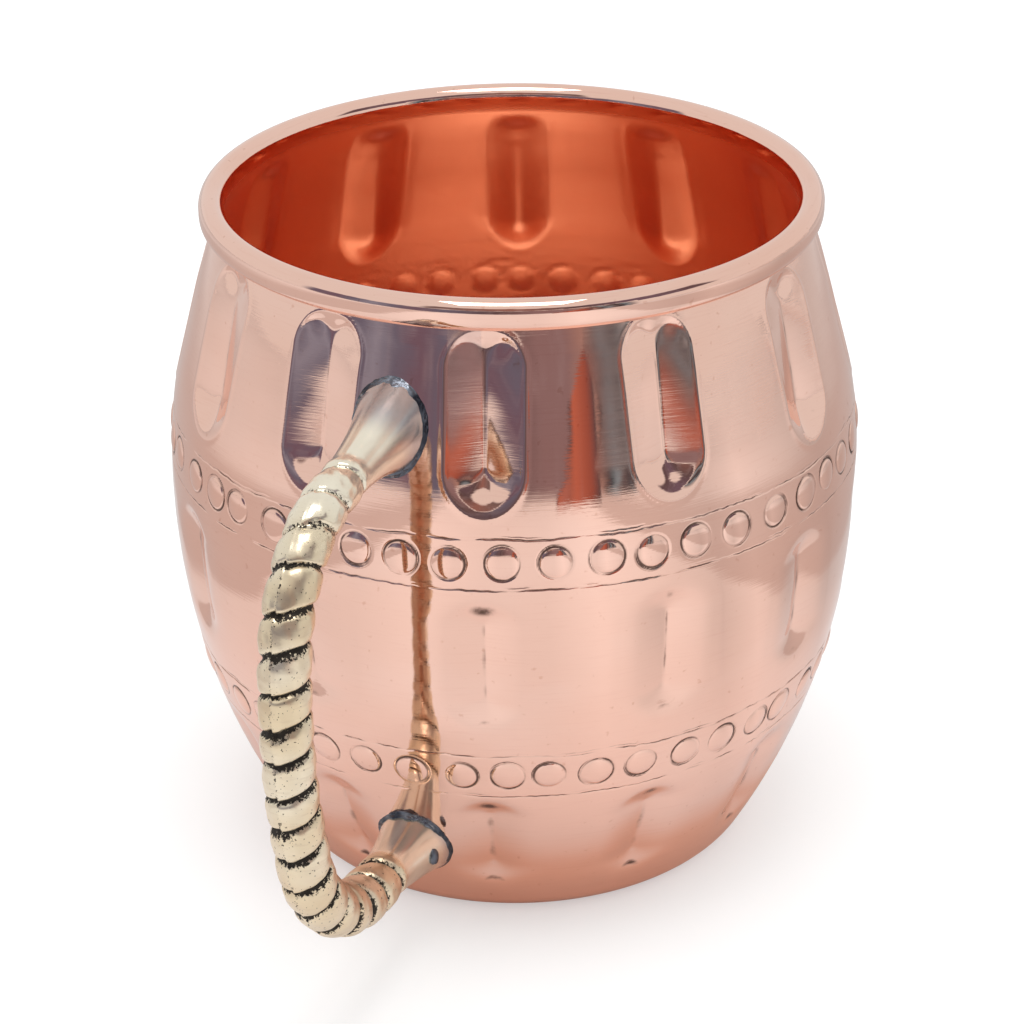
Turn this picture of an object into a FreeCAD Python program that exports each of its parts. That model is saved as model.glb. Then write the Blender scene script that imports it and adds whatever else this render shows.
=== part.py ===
"""A barrel-shaped copper drinking mug with a cast brass rope handle, as a parametric FreeCAD document.

The mug stands on its flat base at z = 0, its axis is Z and its handle points along +X.
All sizes are in millimetres.

Pieces: the embossed copper body with its curled rim, the wire inside the curl, the cast brass
handle, the solder that holds each foot of the handle, and the plug in the handle's vent hole.
"""

import FreeCAD
import Part
import Sketcher
import math
import os

Vector = FreeCAD.Vector
Rotation = FreeCAD.Rotation
Placement = FreeCAD.Placement

UP = Vector(0, 0, 1)
SIDEWAYS = Vector(0, 1, 0)
FULL_TURN = 360.0
STEPS_PER_PITCH = 20
LEAST_VOLUME = 1e-6
MM3_PER_CM3 = 1000

# ---------------------------------------------------------------------------------------------
# Driving dimensions
# ---------------------------------------------------------------------------------------------

SIZES = {
    # copper body: a barrel whose outline is one arc above the belly and one below it
    "mug_height": 95.0,
    "sheet": 0.9,
    "belly_radius": 47.7,
    "belly_height": 54.0,
    "upper_arc": 94.0,
    "lower_arc": 103.0,
    "foot_corner": 6.0,
    # curled rim and the wire in it
    "rim_radius": 42.0,
    "bead_radius": 1.7,
    "bead_straight": 0.8,
    "curl_sheet": 0.7,
    "curl_slit": 0.25,
    # engraved lines and the rows of studs between them
    "line_radius": 0.3,
    "line_depth": 0.2,
    "upper_line_low": 58.3,
    "upper_line_high": 65.0,
    "lower_line_low": 25.4,
    "lower_line_high": 32.4,
    "stud_radius": 2.2,
    "stud_rise": 0.5,
    "upper_stud_height": 62.0,
    "upper_stud_count": 46,
    "upper_stud_phase": 3.2,
    "lower_stud_height": 29.0,
    "lower_stud_count": 45,
    "lower_stud_phase": 2.4,
    # pressed flutes: three rows, each a V-shaped valley with rounded ends
    "flute_count": 12,
    "flute_phase": 15.0,
    "flute_width": 12.8,
    "flute_overcut": 1.0,
    "ridge_half_width": 5.4,
    "ridge_root": 0.5,
    "top_flute_low": 67.4,
    "top_flute_high": 90.2,
    "top_flute_depth": 1.6,
    "middle_flute_low": 36.6,
    "middle_flute_high": 56.4,
    "middle_flute_depth": 1.2,
    "bottom_flute_low": 6.0,
    "bottom_flute_high": 24.2,
    "bottom_flute_depth": 1.2,
    "flute_end": 5.8,
    # cast handle: its centre line is an arm, a corner, a bowed grip, a corner and an arm
    "bar_radius": 3.15,
    "handle_reach": 77.9,
    "grip_middle": 54.0,
    "grip_arc": 76.0,
    "upper_corner": 16.5,
    "lower_corner": 22.5,
    "upper_arm_height": 78.2,
    "upper_arm_slope": 3.5,
    "lower_arm_height": 14.4,
    "lower_arm_slope": 6.5,
    "arm_start": 2.0,
    "foot_length": 12.0,
    "foot_half_height": 6.5,
    "foot_half_width": 5.4,
    "neck_half_height": 3.15,
    "neck_half_width": 3.05,
    "rope_pitch": 5.0,
    "rope_groove_radius": 1.1,
    "rope_groove_depth": 0.45,
    "rope_top_gap": 12.5,
    "rope_bottom_gap": 11.0,
    # solder and the vent plug
    "solder_bed": 0.25,
    "solder_climb": 1.4,
    "solder_root_half_height": 8.7,
    "solder_root_half_width": 7.7,
    "solder_tip_half_height": 6.05,
    "solder_tip_half_width": 5.0,
    "vent_radius": 0.9,
    "vent_bottom": 1.5,
    "vent_from_wall": 3.4,
}

doc = FreeCAD.newDocument("copper_mug")


def make_sheet():
    """The spreadsheet of driving dimensions, one named cell for each."""
    table = doc.addObject("Spreadsheet::Sheet", "sizes")
    for row, (name, number) in enumerate(SIZES.items(), start=1):
        table.set(f"A{row}", name)
        table.set(f"B{row}", str(number))
        table.setAlias(f"B{row}", name)
    doc.recompute()
    return table


sheet = make_sheet()


def number(expression):
    """The present value of an expression over the sheet's cells."""
    found = sheet.evalExpression(expression)
    return float(getattr(found, "Value", found))


# ---------------------------------------------------------------------------------------------
# Expressions for points on the barrel
# ---------------------------------------------------------------------------------------------


def wall_tilt(height, arc):
    """Angle of the wall's normal above the horizontal, at a height on one of its two arcs."""
    return f"asin(({height} - sizes.belly_height) / sizes.{arc})"


def wall_radius(height, arc):
    """Outer radius of the barrel at a height on one of its two arcs."""
    rise = f"({height} - sizes.belly_height)"
    return f"sizes.belly_radius - sizes.{arc} + sqrt(sizes.{arc} ^ 2 - {rise} ^ 2)"


# ---------------------------------------------------------------------------------------------
# Sketch helpers
# ---------------------------------------------------------------------------------------------


def origin_feature(body, role):
    return next(item for item in body.Origin.OriginFeatures if item.Role == role)


def add_body(name):
    body = doc.addObject("PartDesign::Body", name)
    body.Label = name
    return body


def add_sketch(body, name, role, base=None, turn_axis=None, turn=None):
    """A sketch on one of the body's origin planes, moved and turned by expressions."""
    sketch = body.newObject("Sketcher::SketchObject", name)
    sketch.AttachmentSupport = (origin_feature(body, role), [""])
    sketch.MapMode = "FlatFace"
    if turn_axis is not None:
        sketch.AttachmentOffset = Placement(Vector(), Rotation(turn_axis, number(turn)))
        sketch.setExpression("AttachmentOffset.Rotation.Angle", turn)
    for letter, expression in (base or {}).items():
        sketch.setExpression(f"AttachmentOffset.Base.{letter}", expression)
    return sketch


def constrain(sketch, kind, *targets):
    sketch.addConstraint(Sketcher.Constraint(kind, *targets))


def dimension(sketch, kind, targets, expression):
    """A dimension whose value is bound to an expression; angles are in degrees."""
    value = math.radians(number(expression)) if kind == "Angle" else number(expression)
    index = sketch.addConstraint(Sketcher.Constraint(kind, *targets, value))
    sketch.setExpression(f"Constraints[{index}]", expression)


def place_point(sketch, shape, point, across, along):
    """Ties a point to the sketch's axes; a leading minus puts it on the negative side."""
    for kind, expression in (("DistanceX", across), ("DistanceY", along)):
        axis = -2 if kind == "DistanceX" else -1
        if expression == "0":
            constrain(sketch, "PointOnObject", shape, point, axis)
        elif expression.startswith("-"):
            dimension(sketch, kind, (shape, point, -1, 1), expression[1:])
        else:
            dimension(sketch, kind, (-1, 1, shape, point), expression)


def signed(expression):
    return -number(expression[1:]) if expression.startswith("-") else number(expression)


def polygon(sketch, corners):
    """A closed outline of straight lines through corners given as pairs of expressions."""
    spots = [Vector(signed(across), signed(along), 0) for across, along in corners]
    lines = []
    for start, end in zip(spots, spots[1:] + spots[:1]):
        lines.append(sketch.addGeometry(Part.LineSegment(start, end)))
    for line, following in zip(lines, lines[1:] + lines[:1]):
        constrain(sketch, "Coincident", line, 2, following, 1)
    for line, (across, along) in zip(lines, corners):
        place_point(sketch, line, 1, across, along)


def circle(sketch, across, along, radius):
    spot = Vector(signed(across), signed(along), 0)
    ring = sketch.addGeometry(Part.Circle(spot, UP, number(radius)))
    place_point(sketch, ring, 3, across, along)
    dimension(sketch, "Radius", (ring,), radius)


def ellipse(sketch, half_across, half_along):
    """An ellipse about the sketch's origin, taller along the sketch's second axis."""
    across, along = number(half_across), number(half_along)
    oval = sketch.addGeometry(Part.Ellipse(Vector(0, along, 0), Vector(across, 0, 0), Vector()))
    sketch.exposeInternalGeometry(oval)
    tall, wide = oval + 1, oval + 2
    constrain(sketch, "Coincident", oval, 3, -1, 1)
    constrain(sketch, "PointOnObject", tall, 1, -2)
    dimension(sketch, "Distance", (tall, 1, tall, 2), f"2 * ({half_along})")
    dimension(sketch, "Distance", (wide, 1, wide, 2), f"2 * ({half_across})")


def upright_slot(sketch, across, along, straight, radius):
    """A slot: two half circles joined by upright lines, about a centre point."""
    x, y = number(across), number(along)
    half, r = number(straight) / 2, number(radius)
    top = sketch.addGeometry(
        Part.ArcOfCircle(Part.Circle(Vector(x, y + half, 0), UP, r), 0, math.pi)
    )
    bottom = sketch.addGeometry(
        Part.ArcOfCircle(Part.Circle(Vector(x, y - half, 0), UP, r), math.pi, 2 * math.pi)
    )
    left = sketch.addGeometry(Part.LineSegment(Vector(x - r, y + half, 0), Vector(x - r, y - half, 0)))
    right = sketch.addGeometry(Part.LineSegment(Vector(x + r, y - half, 0), Vector(x + r, y + half, 0)))
    for first, first_end, second, second_end in (
        (top, 2, left, 1),
        (left, 2, bottom, 1),
        (bottom, 2, right, 1),
        (right, 2, top, 1),
    ):
        constrain(sketch, "Tangent", first, first_end, second, second_end)
    constrain(sketch, "Vertical", left)
    place_point(sketch, top, 3, across, f"{along} + {straight} / 2")
    dimension(sketch, "DistanceY", (left, 2, left, 1), straight)
    dimension(sketch, "Radius", (top,), radius)


def barrel_outline(sketch, offset, top):
    """Half of the barrel, moved outwards by an offset, closed along the axis and cut off at a height."""
    shift = number(offset)
    belly = number("sizes.belly_radius")
    middle = number("sizes.belly_height")
    low_arc = number("sizes.lower_arc")
    high_arc = number("sizes.upper_arc")
    corner = number("sizes.foot_corner") + shift
    roof = number(top)
    low_centre = Vector(belly - low_arc, middle, 0)
    high_centre = Vector(belly - high_arc, middle, 0)
    reach = low_arc + shift - corner
    drop = middle + shift - corner
    corner_centre = Vector(low_centre.x + math.sqrt(reach**2 - drop**2), corner - shift, 0)
    lean = math.atan2(corner_centre.y - low_centre.y, corner_centre.x - low_centre.x)
    rise = math.asin((roof - middle) / (high_arc + shift))
    foot_arc = sketch.addGeometry(
        Part.ArcOfCircle(Part.Circle(corner_centre, UP, corner), -math.pi / 2, lean)
    )
    lower = sketch.addGeometry(
        Part.ArcOfCircle(Part.Circle(low_centre, UP, low_arc + shift), lean, 0)
    )
    upper = sketch.addGeometry(
        Part.ArcOfCircle(Part.Circle(high_centre, UP, high_arc + shift), 0, rise)
    )
    edge = Vector(high_centre.x + (high_arc + shift) * math.cos(rise), roof, 0)
    lid = sketch.addGeometry(Part.LineSegment(edge, Vector(0, roof, 0)))
    spine = sketch.addGeometry(Part.LineSegment(Vector(0, roof, 0), Vector(0, -shift, 0)))
    floor = sketch.addGeometry(
        Part.LineSegment(Vector(0, -shift, 0), Vector(corner_centre.x, -shift, 0))
    )
    constrain(sketch, "Tangent", floor, 2, foot_arc, 1)
    constrain(sketch, "Tangent", foot_arc, 2, lower, 1)
    constrain(sketch, "Tangent", lower, 2, upper, 1)
    constrain(sketch, "Coincident", upper, 2, lid, 1)
    constrain(sketch, "Coincident", lid, 2, spine, 1)
    constrain(sketch, "Coincident", spine, 2, floor, 1)
    constrain(sketch, "Horizontal", floor)
    constrain(sketch, "Horizontal", lid)
    constrain(sketch, "PointOnObject", spine, 1, -2)
    constrain(sketch, "PointOnObject", spine, 2, -2)
    dimension(sketch, "DistanceY", (-1, 1, spine, 1), top)
    if shift == 0:
        constrain(sketch, "PointOnObject", floor, 2, -1)
    elif shift < 0:
        dimension(sketch, "DistanceY", (-1, 1, spine, 2), f"-({offset})")
    else:
        dimension(sketch, "DistanceY", (spine, 2, -1, 1), offset)
    dimension(sketch, "Radius", (foot_arc,), f"sizes.foot_corner + {offset}")
    dimension(sketch, "Radius", (lower,), f"sizes.lower_arc + {offset}")
    dimension(sketch, "Radius", (upper,), f"sizes.upper_arc + {offset}")
    dimension(sketch, "DistanceX", (lower, 3, -1, 1), "sizes.lower_arc - sizes.belly_radius")
    dimension(sketch, "DistanceY", (-1, 1, lower, 3), "sizes.belly_height")
    dimension(sketch, "DistanceY", (-1, 1, upper, 1), "sizes.belly_height")


# ---------------------------------------------------------------------------------------------
# Feature helpers
# ---------------------------------------------------------------------------------------------


def volume_of(body):
    return 0.0 if body.Shape.isNull() else body.Shape.Volume


def revolve(body, kind, sketch, axis="V_Axis", angle=None):
    """A Revolution or a Groove, checked to have changed the body's volume the right way."""
    before = volume_of(body)
    feature = body.newObject(f"PartDesign::{kind}", f"{sketch.Name}_{kind.lower()}")
    feature.Profile = sketch
    feature.ReferenceAxis = (sketch, [axis])
    feature.Midplane = angle is not None
    feature.Angle = FULL_TURN if angle is None else number(angle)
    if angle is not None:
        feature.setExpression("Angle", angle)
    body.Tip = feature
    sketch.Visibility = False
    doc.recompute()
    change = volume_of(body) - before
    if (change < 0) != (kind == "Groove") or abs(change) < LEAST_VOLUME:
        raise RuntimeError(f"{feature.Name} changed the volume by {change:.4f}")
    return feature


def ring_of(tool, name, count, phase):
    """Copies of a tool body spaced evenly round the axis, the first one turned by the phase."""
    copies = []
    total = int(number(count))
    for index in range(total):
        copy = tool.Shape.Solids[0].copy()
        copy.rotate(Vector(), UP, number(phase) + FULL_TURN * index / total)
        copies.append(copy)
    ring = doc.addObject("Part::Feature", name)
    ring.Shape = Part.makeCompound(copies)
    return ring


def cut(base, tool, name):
    """A boolean cut, checked to have removed something."""
    result = doc.addObject("Part::Cut", name)
    result.Base = base
    result.Tool = tool
    result.Label = name
    doc.recompute()
    if not result.Shape.Volume < base.Shape.Volume - LEAST_VOLUME:
        raise RuntimeError(f"{name} removed nothing")
    return result


# ---------------------------------------------------------------------------------------------
# Copper body
# ---------------------------------------------------------------------------------------------

BEAD_CENTRE = "sizes.rim_radius - sizes.bead_radius"
BEAD_MIDDLE = "sizes.mug_height - sizes.bead_radius - sizes.bead_straight / 2"
HOLLOW_RADIUS = "sizes.bead_radius - sizes.curl_sheet"

FLUTE_ROWS = (
    ("top_flute", "upper_arc"),
    ("middle_flute", "lower_arc"),
    ("bottom_flute", "lower_arc"),
)


def arc_centre(arc, role):
    """Where the centre of a wall arc lies, as the attachment offset of a sketch on an origin plane."""
    height_letter = "z" if role == "XY_Plane" else "y"
    return {"x": f"sizes.belly_radius - sizes.{arc}", height_letter: "sizes.belly_height"}


def vessel(body):
    """The barrel as a plain pot with a flat floor: a solid barrel, hollowed to the sheet's thickness."""
    outside = add_sketch(body, "barrel", "XZ_Plane")
    barrel_outline(outside, "0", BEAD_MIDDLE)
    revolve(body, "Revolution", outside)
    inside = add_sketch(body, "cavity", "XZ_Plane")
    barrel_outline(inside, "-1 * sizes.sheet", "sizes.mug_height")
    revolve(body, "Groove", inside)


def curled_rim(body):
    """The rim: the sheet curled outwards round its wire, its edge stopping just short of the wall."""
    bead = add_sketch(body, "rim_bead", "XZ_Plane")
    upright_slot(bead, BEAD_CENTRE, BEAD_MIDDLE, "sizes.bead_straight", "sizes.bead_radius")
    revolve(body, "Revolution", bead)
    hollow = add_sketch(body, "rim_hollow", "XZ_Plane")
    upright_slot(hollow, BEAD_CENTRE, BEAD_MIDDLE, "sizes.bead_straight", HOLLOW_RADIUS)
    revolve(body, "Groove", hollow)
    slit = add_sketch(body, "rim_slit", "XZ_Plane")
    near = BEAD_CENTRE
    far = f"{BEAD_CENTRE} + sizes.curl_slit"
    low = "sizes.mug_height - 2 * sizes.bead_radius - sizes.bead_straight - sizes.curl_slit"
    polygon(slit, [(near, low), (far, low), (far, BEAD_MIDDLE), (near, BEAD_MIDDLE)])
    revolve(body, "Groove", slit)


def engraved_lines(body):
    lines = add_sketch(body, "engraved_lines", "XZ_Plane")
    for cell, arc in (
        ("upper_line_low", "upper_arc"),
        ("upper_line_high", "upper_arc"),
        ("lower_line_low", "lower_arc"),
        ("lower_line_high", "lower_arc"),
    ):
        height = f"sizes.{cell}"
        across = f"{wall_radius(height, arc)} + sizes.line_radius - sizes.line_depth"
        circle(lines, across, height, "sizes.line_radius")
    revolve(body, "Groove", lines)


def stud_row(row, arc):
    """One row of domed studs: a shallow cap on the wall's normal, repeated round the axis."""
    body = add_body(f"{row}_stud_tool")
    height = f"sizes.{row}_stud_height"
    tilt = wall_tilt(height, arc)
    sketch = add_sketch(body, f"{row}_stud", "XZ_Plane", arc_centre(arc, "XZ_Plane"), UP, tilt)
    rise, half = number("sizes.stud_rise"), number("sizes.stud_radius")
    root = f"sizes.{arc} - sizes.sheet / 2"
    crown = f"sizes.{arc} + sizes.stud_rise"
    ball_rise = "(sizes.stud_rise + sizes.sheet / 2)"
    ball = f"(sizes.stud_radius ^ 2 + {ball_rise} ^ 2) / (2 * {ball_rise})"
    centre = Vector(number(crown) - number(ball), 0, 0)
    end = math.atan2(half, number(root) - centre.x)
    dome = sketch.addGeometry(Part.ArcOfCircle(Part.Circle(centre, UP, number(ball)), 0, end))
    top = Vector(number(crown), 0, 0)
    shoulder = Vector(number(root), half, 0)
    heel = Vector(number(root), 0, 0)
    face = sketch.addGeometry(Part.LineSegment(shoulder, heel))
    axis = sketch.addGeometry(Part.LineSegment(heel, top))
    constrain(sketch, "Coincident", dome, 2, face, 1)
    constrain(sketch, "Coincident", face, 2, axis, 1)
    constrain(sketch, "Coincident", axis, 2, dome, 1)
    constrain(sketch, "Vertical", face)
    constrain(sketch, "PointOnObject", dome, 3, -1)
    place_point(sketch, axis, 1, root, "0")
    place_point(sketch, axis, 2, crown, "0")
    dimension(sketch, "Radius", (dome,), ball)
    revolve(body, "Revolution", sketch, "H_Axis")
    return ring_of(body, f"{row}_studs", f"sizes.{row}_stud_count", f"sizes.{row}_stud_phase")


def flute_section(row, arc, pressed_in):
    """Corners of half a flute's V, from its crease outwards, measured from the wall arc's centre."""
    surface = f"sizes.{arc}"
    depth = f"sizes.{row}_depth"
    slope = f"({depth} / (sizes.flute_width / 2))"
    if pressed_in:
        half = "sizes.ridge_half_width"
        crease = f"{surface} - {depth} - sizes.sheet"
        root = f"{surface} - sizes.ridge_root"
        return [(crease, "0"), (f"{crease} + {slope} * {half}", half), (root, half), (root, "0")]
    outer = f"{surface} + sizes.flute_overcut"
    half = f"({depth} + sizes.flute_overcut) / {slope}"
    return [(f"{surface} - {depth}", "0"), (outer, half), (outer, "0")]


def mirrored(corners):
    """The whole V from one half: the corners off the axis come back on the other side."""
    other_side = [(across, f"-{along}") for across, along in corners if along != "0"]
    return corners[:-1] + other_side[::-1]


def flute_row(row, arc, pressed_in):
    """One row of flutes: each is a V swept along the wall, with a cone at each end of its crease."""
    word = "ridge" if pressed_in else "valley"
    body = add_body(f"{row}_{word}_tool")
    half = flute_section(row, arc, pressed_in)
    low = wall_tilt(f"(sizes.{row}_low + sizes.flute_end)", arc)
    high = wall_tilt(f"(sizes.{row}_high - sizes.flute_end)", arc)
    middle = f"-1 * ({low} + {high}) / 2"
    trough = add_sketch(
        body, f"{row}_{word}", "XY_Plane", arc_centre(arc, "XY_Plane"), SIDEWAYS, middle
    )
    polygon(trough, mirrored(half))
    revolve(body, "Revolution", trough, "V_Axis", f"{high} - {low}")
    for end, tilt in (("low", low), ("high", high)):
        upright = arc_centre(arc, "XZ_Plane")
        cone = add_sketch(body, f"{row}_{word}_{end}", "XZ_Plane", upright, UP, tilt)
        polygon(cone, half)
        revolve(body, "Revolution", cone, "H_Axis")
    return ring_of(body, f"{row}_{word}s", "sizes.flute_count", "sizes.flute_phase")


def body_shell():
    """The pot with everything that is pressed into it: ridges and studs out of its wall, valleys into it."""
    pot = add_body("plain_pot")
    vessel(pot)
    curled_rim(pot)
    engraved_lines(pot)
    ridges = [flute_row(row, arc, True) for row, arc in FLUTE_ROWS]
    valleys = [flute_row(row, arc, False) for row, arc in FLUTE_ROWS]
    studs = [stud_row("upper", "upper_arc"), stud_row("lower", "lower_arc")]
    raised = doc.addObject("Part::MultiFuse", "raised_work")
    raised.Shapes = [pot] + ridges + studs
    sunk = doc.addObject("Part::Compound", "sunk_work")
    sunk.Links = valleys
    doc.recompute()
    return cut(raised, sunk, "body_shell")


def rim_wire():
    """The wire that the rim is curled round: it fills the upper part of the curl."""
    wire = doc.addObject("Part::Torus", "rim_wire")
    wire.setExpression("Radius1", BEAD_CENTRE)
    wire.setExpression("Radius2", HOLLOW_RADIUS)
    wire.setExpression("Placement.Base.z", f"{BEAD_MIDDLE} + sizes.bead_straight / 2")
    return wire


# ---------------------------------------------------------------------------------------------
# Cast handle
# ---------------------------------------------------------------------------------------------

ARMS = {
    "upper": {"height": "sizes.upper_arm_height", "arc": "upper_arc", "rise": "-sizes.upper_arm_slope"},
    "lower": {"height": "sizes.lower_arm_height", "arc": "lower_arc", "rise": "sizes.lower_arm_slope"},
}


def arm_point(name, distance):
    """A point on an arm's centre line at a distance out from the wall: its radius and its height."""
    arm = ARMS[name]
    across = f"{wall_radius(arm['height'], arm['arc'])} + ({distance}) * cos({arm['rise']})"
    up = f"{arm['height']} + ({distance}) * sin({arm['rise']})"
    return across, up


def corner_centre(name, radius):
    """Centre of the corner arc that touches an arm's line and the inside of the grip's arc."""
    start = [number(part) for part in arm_point(name, "-sizes.arm_start")]
    rise = math.radians(number(ARMS[name]["rise"]))
    inward = -1 if name == "upper" else 1
    side = Vector(-math.sin(rise), math.cos(rise), 0) * inward
    along = Vector(math.cos(rise), math.sin(rise), 0)
    grip = grip_centre()
    offset = Vector(start[0], start[1], 0) + side * radius - grip
    reach = number("sizes.grip_arc") - radius
    half = offset.dot(along)
    travel = -half + math.sqrt(half**2 - offset.dot(offset) + reach**2)
    return grip + offset + along * travel, side


def grip_centre():
    return Vector(number("sizes.handle_reach - sizes.grip_arc"), number("sizes.grip_middle"), 0)


def handle_path(body):
    """The centre line: arm, corner, bowed grip, corner, arm, each tangent to the next."""
    sketch = add_sketch(body, "handle_path", "XZ_Plane")
    grip = grip_centre()
    ends = {}
    for name in ARMS:
        radius = number(f"sizes.{name}_corner")
        centre, side = corner_centre(name, radius)
        to_arm = math.atan2(-side.y, -side.x)
        to_grip = math.atan2(centre.y - grip.y, centre.x - grip.x)
        span = sorted((to_arm, to_grip))
        arc = sketch.addGeometry(Part.ArcOfCircle(Part.Circle(centre, UP, radius), *span))
        start = Vector(*[number(part) for part in arm_point(name, "-sizes.arm_start")], 0)
        line = sketch.addGeometry(Part.LineSegment(start, centre - side * radius))
        ends[name] = {"arc": arc, "line": line, "lean": to_grip}
    grip_ring = Part.Circle(grip, UP, number("sizes.grip_arc"))
    bow = sketch.addGeometry(
        Part.ArcOfCircle(grip_ring, ends["lower"]["lean"], ends["upper"]["lean"])
    )
    for name, arm_end, grip_end, bow_end in (("upper", 2, 1, 2), ("lower", 1, 2, 1)):
        line, arc = ends[name]["line"], ends[name]["arc"]
        constrain(sketch, "Tangent", line, 2, arc, arm_end)
        constrain(sketch, "Tangent", arc, grip_end, bow, bow_end)
        place_point(sketch, line, 1, *arm_point(name, "-sizes.arm_start"))
        dimension(sketch, "Angle", (line,), ARMS[name]["rise"])
        dimension(sketch, "Radius", (arc,), f"sizes.{name}_corner")
    place_point(sketch, bow, 3, "sizes.handle_reach - sizes.grip_arc", "sizes.grip_middle")
    dimension(sketch, "Radius", (bow,), "sizes.grip_arc")
    return sketch


def oval_on_arm(body, label, name, distance, tilt, half_across, half_along):
    """An oval across an arm, its plane leaning back from upright by a tilt."""
    across, up = arm_point(name, distance)
    sketch = add_sketch(
        body, label, "YZ_Plane", {"z": across, "y": up}, Vector(1, 0, 0), f"-1 * ({tilt})"
    )
    ellipse(sketch, half_across, half_along)
    return sketch


def loft(body, first, second):
    feature = body.newObject("PartDesign::AdditiveLoft", f"{first.Name}_loft")
    feature.Profile = first
    feature.Sections = [second]
    feature.Ruled = True
    body.Tip = feature
    doc.recompute()
    return feature


def trim_to_wall(body, label, gap):
    """Takes away everything of a body that lies inside the barrel's outside, moved out by a gap."""
    sketch = add_sketch(body, label, "XZ_Plane")
    barrel_outline(sketch, gap, BEAD_MIDDLE)
    revolve(body, "Groove", sketch)


def foot_tilt(name):
    return wall_tilt(ARMS[name]["height"], ARMS[name]["arc"])


def handle_blank():
    """The casting before its twist is cut: a round bar along the centre line, with two flared feet."""
    body = add_body("handle_blank")
    path = handle_path(body)
    doc.recompute()
    across, up = arm_point("upper", "-sizes.arm_start")
    section = add_sketch(
        body,
        "bar_section",
        "YZ_Plane",
        {"z": across, "y": up},
        Vector(1, 0, 0),
        f"-1 * ({ARMS['upper']['rise']})",
    )
    circle(section, "0", "0", "sizes.bar_radius")
    bar = body.newObject("PartDesign::AdditivePipe", "bar")
    bar.Profile = section
    bar.Spine = (path, [f"Edge{index + 1}" for index in range(len(path.Shape.Edges))])
    body.Tip = bar
    doc.recompute()
    for name in ARMS:
        foot = oval_on_arm(
            body,
            f"{name}_foot",
            name,
            "-sizes.arm_start",
            foot_tilt(name),
            "sizes.foot_half_width",
            "sizes.foot_half_height",
        )
        neck = oval_on_arm(
            body,
            f"{name}_neck",
            name,
            "sizes.foot_length",
            ARMS[name]["rise"],
            "sizes.neck_half_width",
            "sizes.neck_half_height",
        )
        loft(body, foot, neck)
    trim_to_wall(body, "handle_seat", "sizes.solder_bed")
    return body


def rope_grooves(path):
    """The grooves between the strands: one ring-shaped cutter for each turn, leaning as the twist does."""
    pitch = number("sizes.rope_pitch")
    radius = number("sizes.bar_radius")
    cutter = number("sizes.rope_groove_radius")
    orbit = radius - number("sizes.rope_groove_depth") + cutter
    lean = math.degrees(math.atan2(pitch, 2 * math.pi * radius))
    wire = Part.Wire(Part.__sortEdges__(path.Shape.Edges))
    first = number("sizes.rope_top_gap")
    last = wire.Length - number("sizes.rope_bottom_gap")
    points = wire.discretize(Number=int(wire.Length / pitch * STEPS_PER_PITCH))
    if points[0].z < points[-1].z:
        points.reverse()
    step = wire.Length / (len(points) - 1)
    rings = []
    for turn in range(int((last - first) / pitch) + 1):
        index = round((first + turn * pitch) / step)
        along = (points[index + 1] - points[index - 1]).normalize()
        outward = along.cross(SIDEWAYS)
        axis = Rotation(outward, lean).multVec(along)
        rings.append(Part.makeTorus(orbit, cutter, points[index], axis))
    grooves = doc.addObject("Part::Feature", "rope_grooves")
    grooves.Shape = Part.makeCompound(rings)
    return grooves


def vent_drill():
    """The drill for the vent hole, which enters the lower foot from its side."""
    drill = doc.addObject("Part::Cylinder", "vent_drill")
    across, up = arm_point("lower", "sizes.vent_from_wall")
    drill.setExpression("Radius", "sizes.vent_radius")
    drill.setExpression("Height", "sizes.foot_half_width")
    drill.Placement = Placement(Vector(), Rotation(UP, SIDEWAYS))
    drill.setExpression("Placement.Base.x", across)
    drill.setExpression("Placement.Base.y", "sizes.vent_bottom")
    drill.setExpression("Placement.Base.z", up)
    doc.recompute()
    return drill


def vent_plug(blank, drill):
    """The plug fills the vent hole flush with the foot's side."""
    plug = doc.addObject("Part::Common", "vent_plug")
    plug.Base = blank
    plug.Tool = drill
    return plug


# ---------------------------------------------------------------------------------------------
# Solder
# ---------------------------------------------------------------------------------------------


def solder(name, handle):
    """The solder at one foot: a thin bed under the foot and a fillet round it, down to the wall."""
    body = add_body(f"{name}_solder_mass")
    tilt = foot_tilt(name)
    root = oval_on_arm(
        body,
        f"{name}_solder_root",
        name,
        "-sizes.arm_start",
        tilt,
        "sizes.solder_root_half_width",
        "sizes.solder_root_half_height",
    )
    tip = oval_on_arm(
        body,
        f"{name}_solder_tip",
        name,
        "sizes.solder_climb",
        tilt,
        "sizes.solder_tip_half_width",
        "sizes.solder_tip_half_height",
    )
    loft(body, root, tip)
    trim_to_wall(body, f"{name}_solder_seat", "0")
    return cut(body, handle, f"{name}_solder")


# ---------------------------------------------------------------------------------------------
# The whole mug
# ---------------------------------------------------------------------------------------------


def build():
    """All the pieces, in the order in which they are made and put together."""
    shell = body_shell()
    wire = rim_wire()
    blank = handle_blank()
    twisted = cut(blank, rope_grooves(doc.getObject("handle_path")), "twisted_handle")
    drill = vent_drill()
    handle = cut(twisted, drill, "handle")
    plug = vent_plug(blank, drill)
    joints = [solder(name, handle) for name in ARMS]
    doc.recompute()
    return [shell, wire, handle, plug] + joints


def check(pieces):
    """Stops before anything is written if an object failed or a piece isn't one sound solid."""
    for item in doc.Objects:
        if "Invalid" in item.State or "Error" in item.State:
            raise RuntimeError(f"{item.Label} did not build: {item.State}")
    for piece in pieces:
        shape = piece.Shape
        if shape.isNull() or not shape.isValid() or len(shape.Solids) != 1:
            raise RuntimeError(f"{piece.Label} is not one sound solid")


def write(pieces):
    os.makedirs("parts", exist_ok=True)
    for piece in pieces:
        piece.Shape.exportStep(f"parts/{piece.Label}.step")
        print(f"{piece.Label}: {piece.Shape.Volume / MM3_PER_CM3:.3f} cm3")


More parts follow.
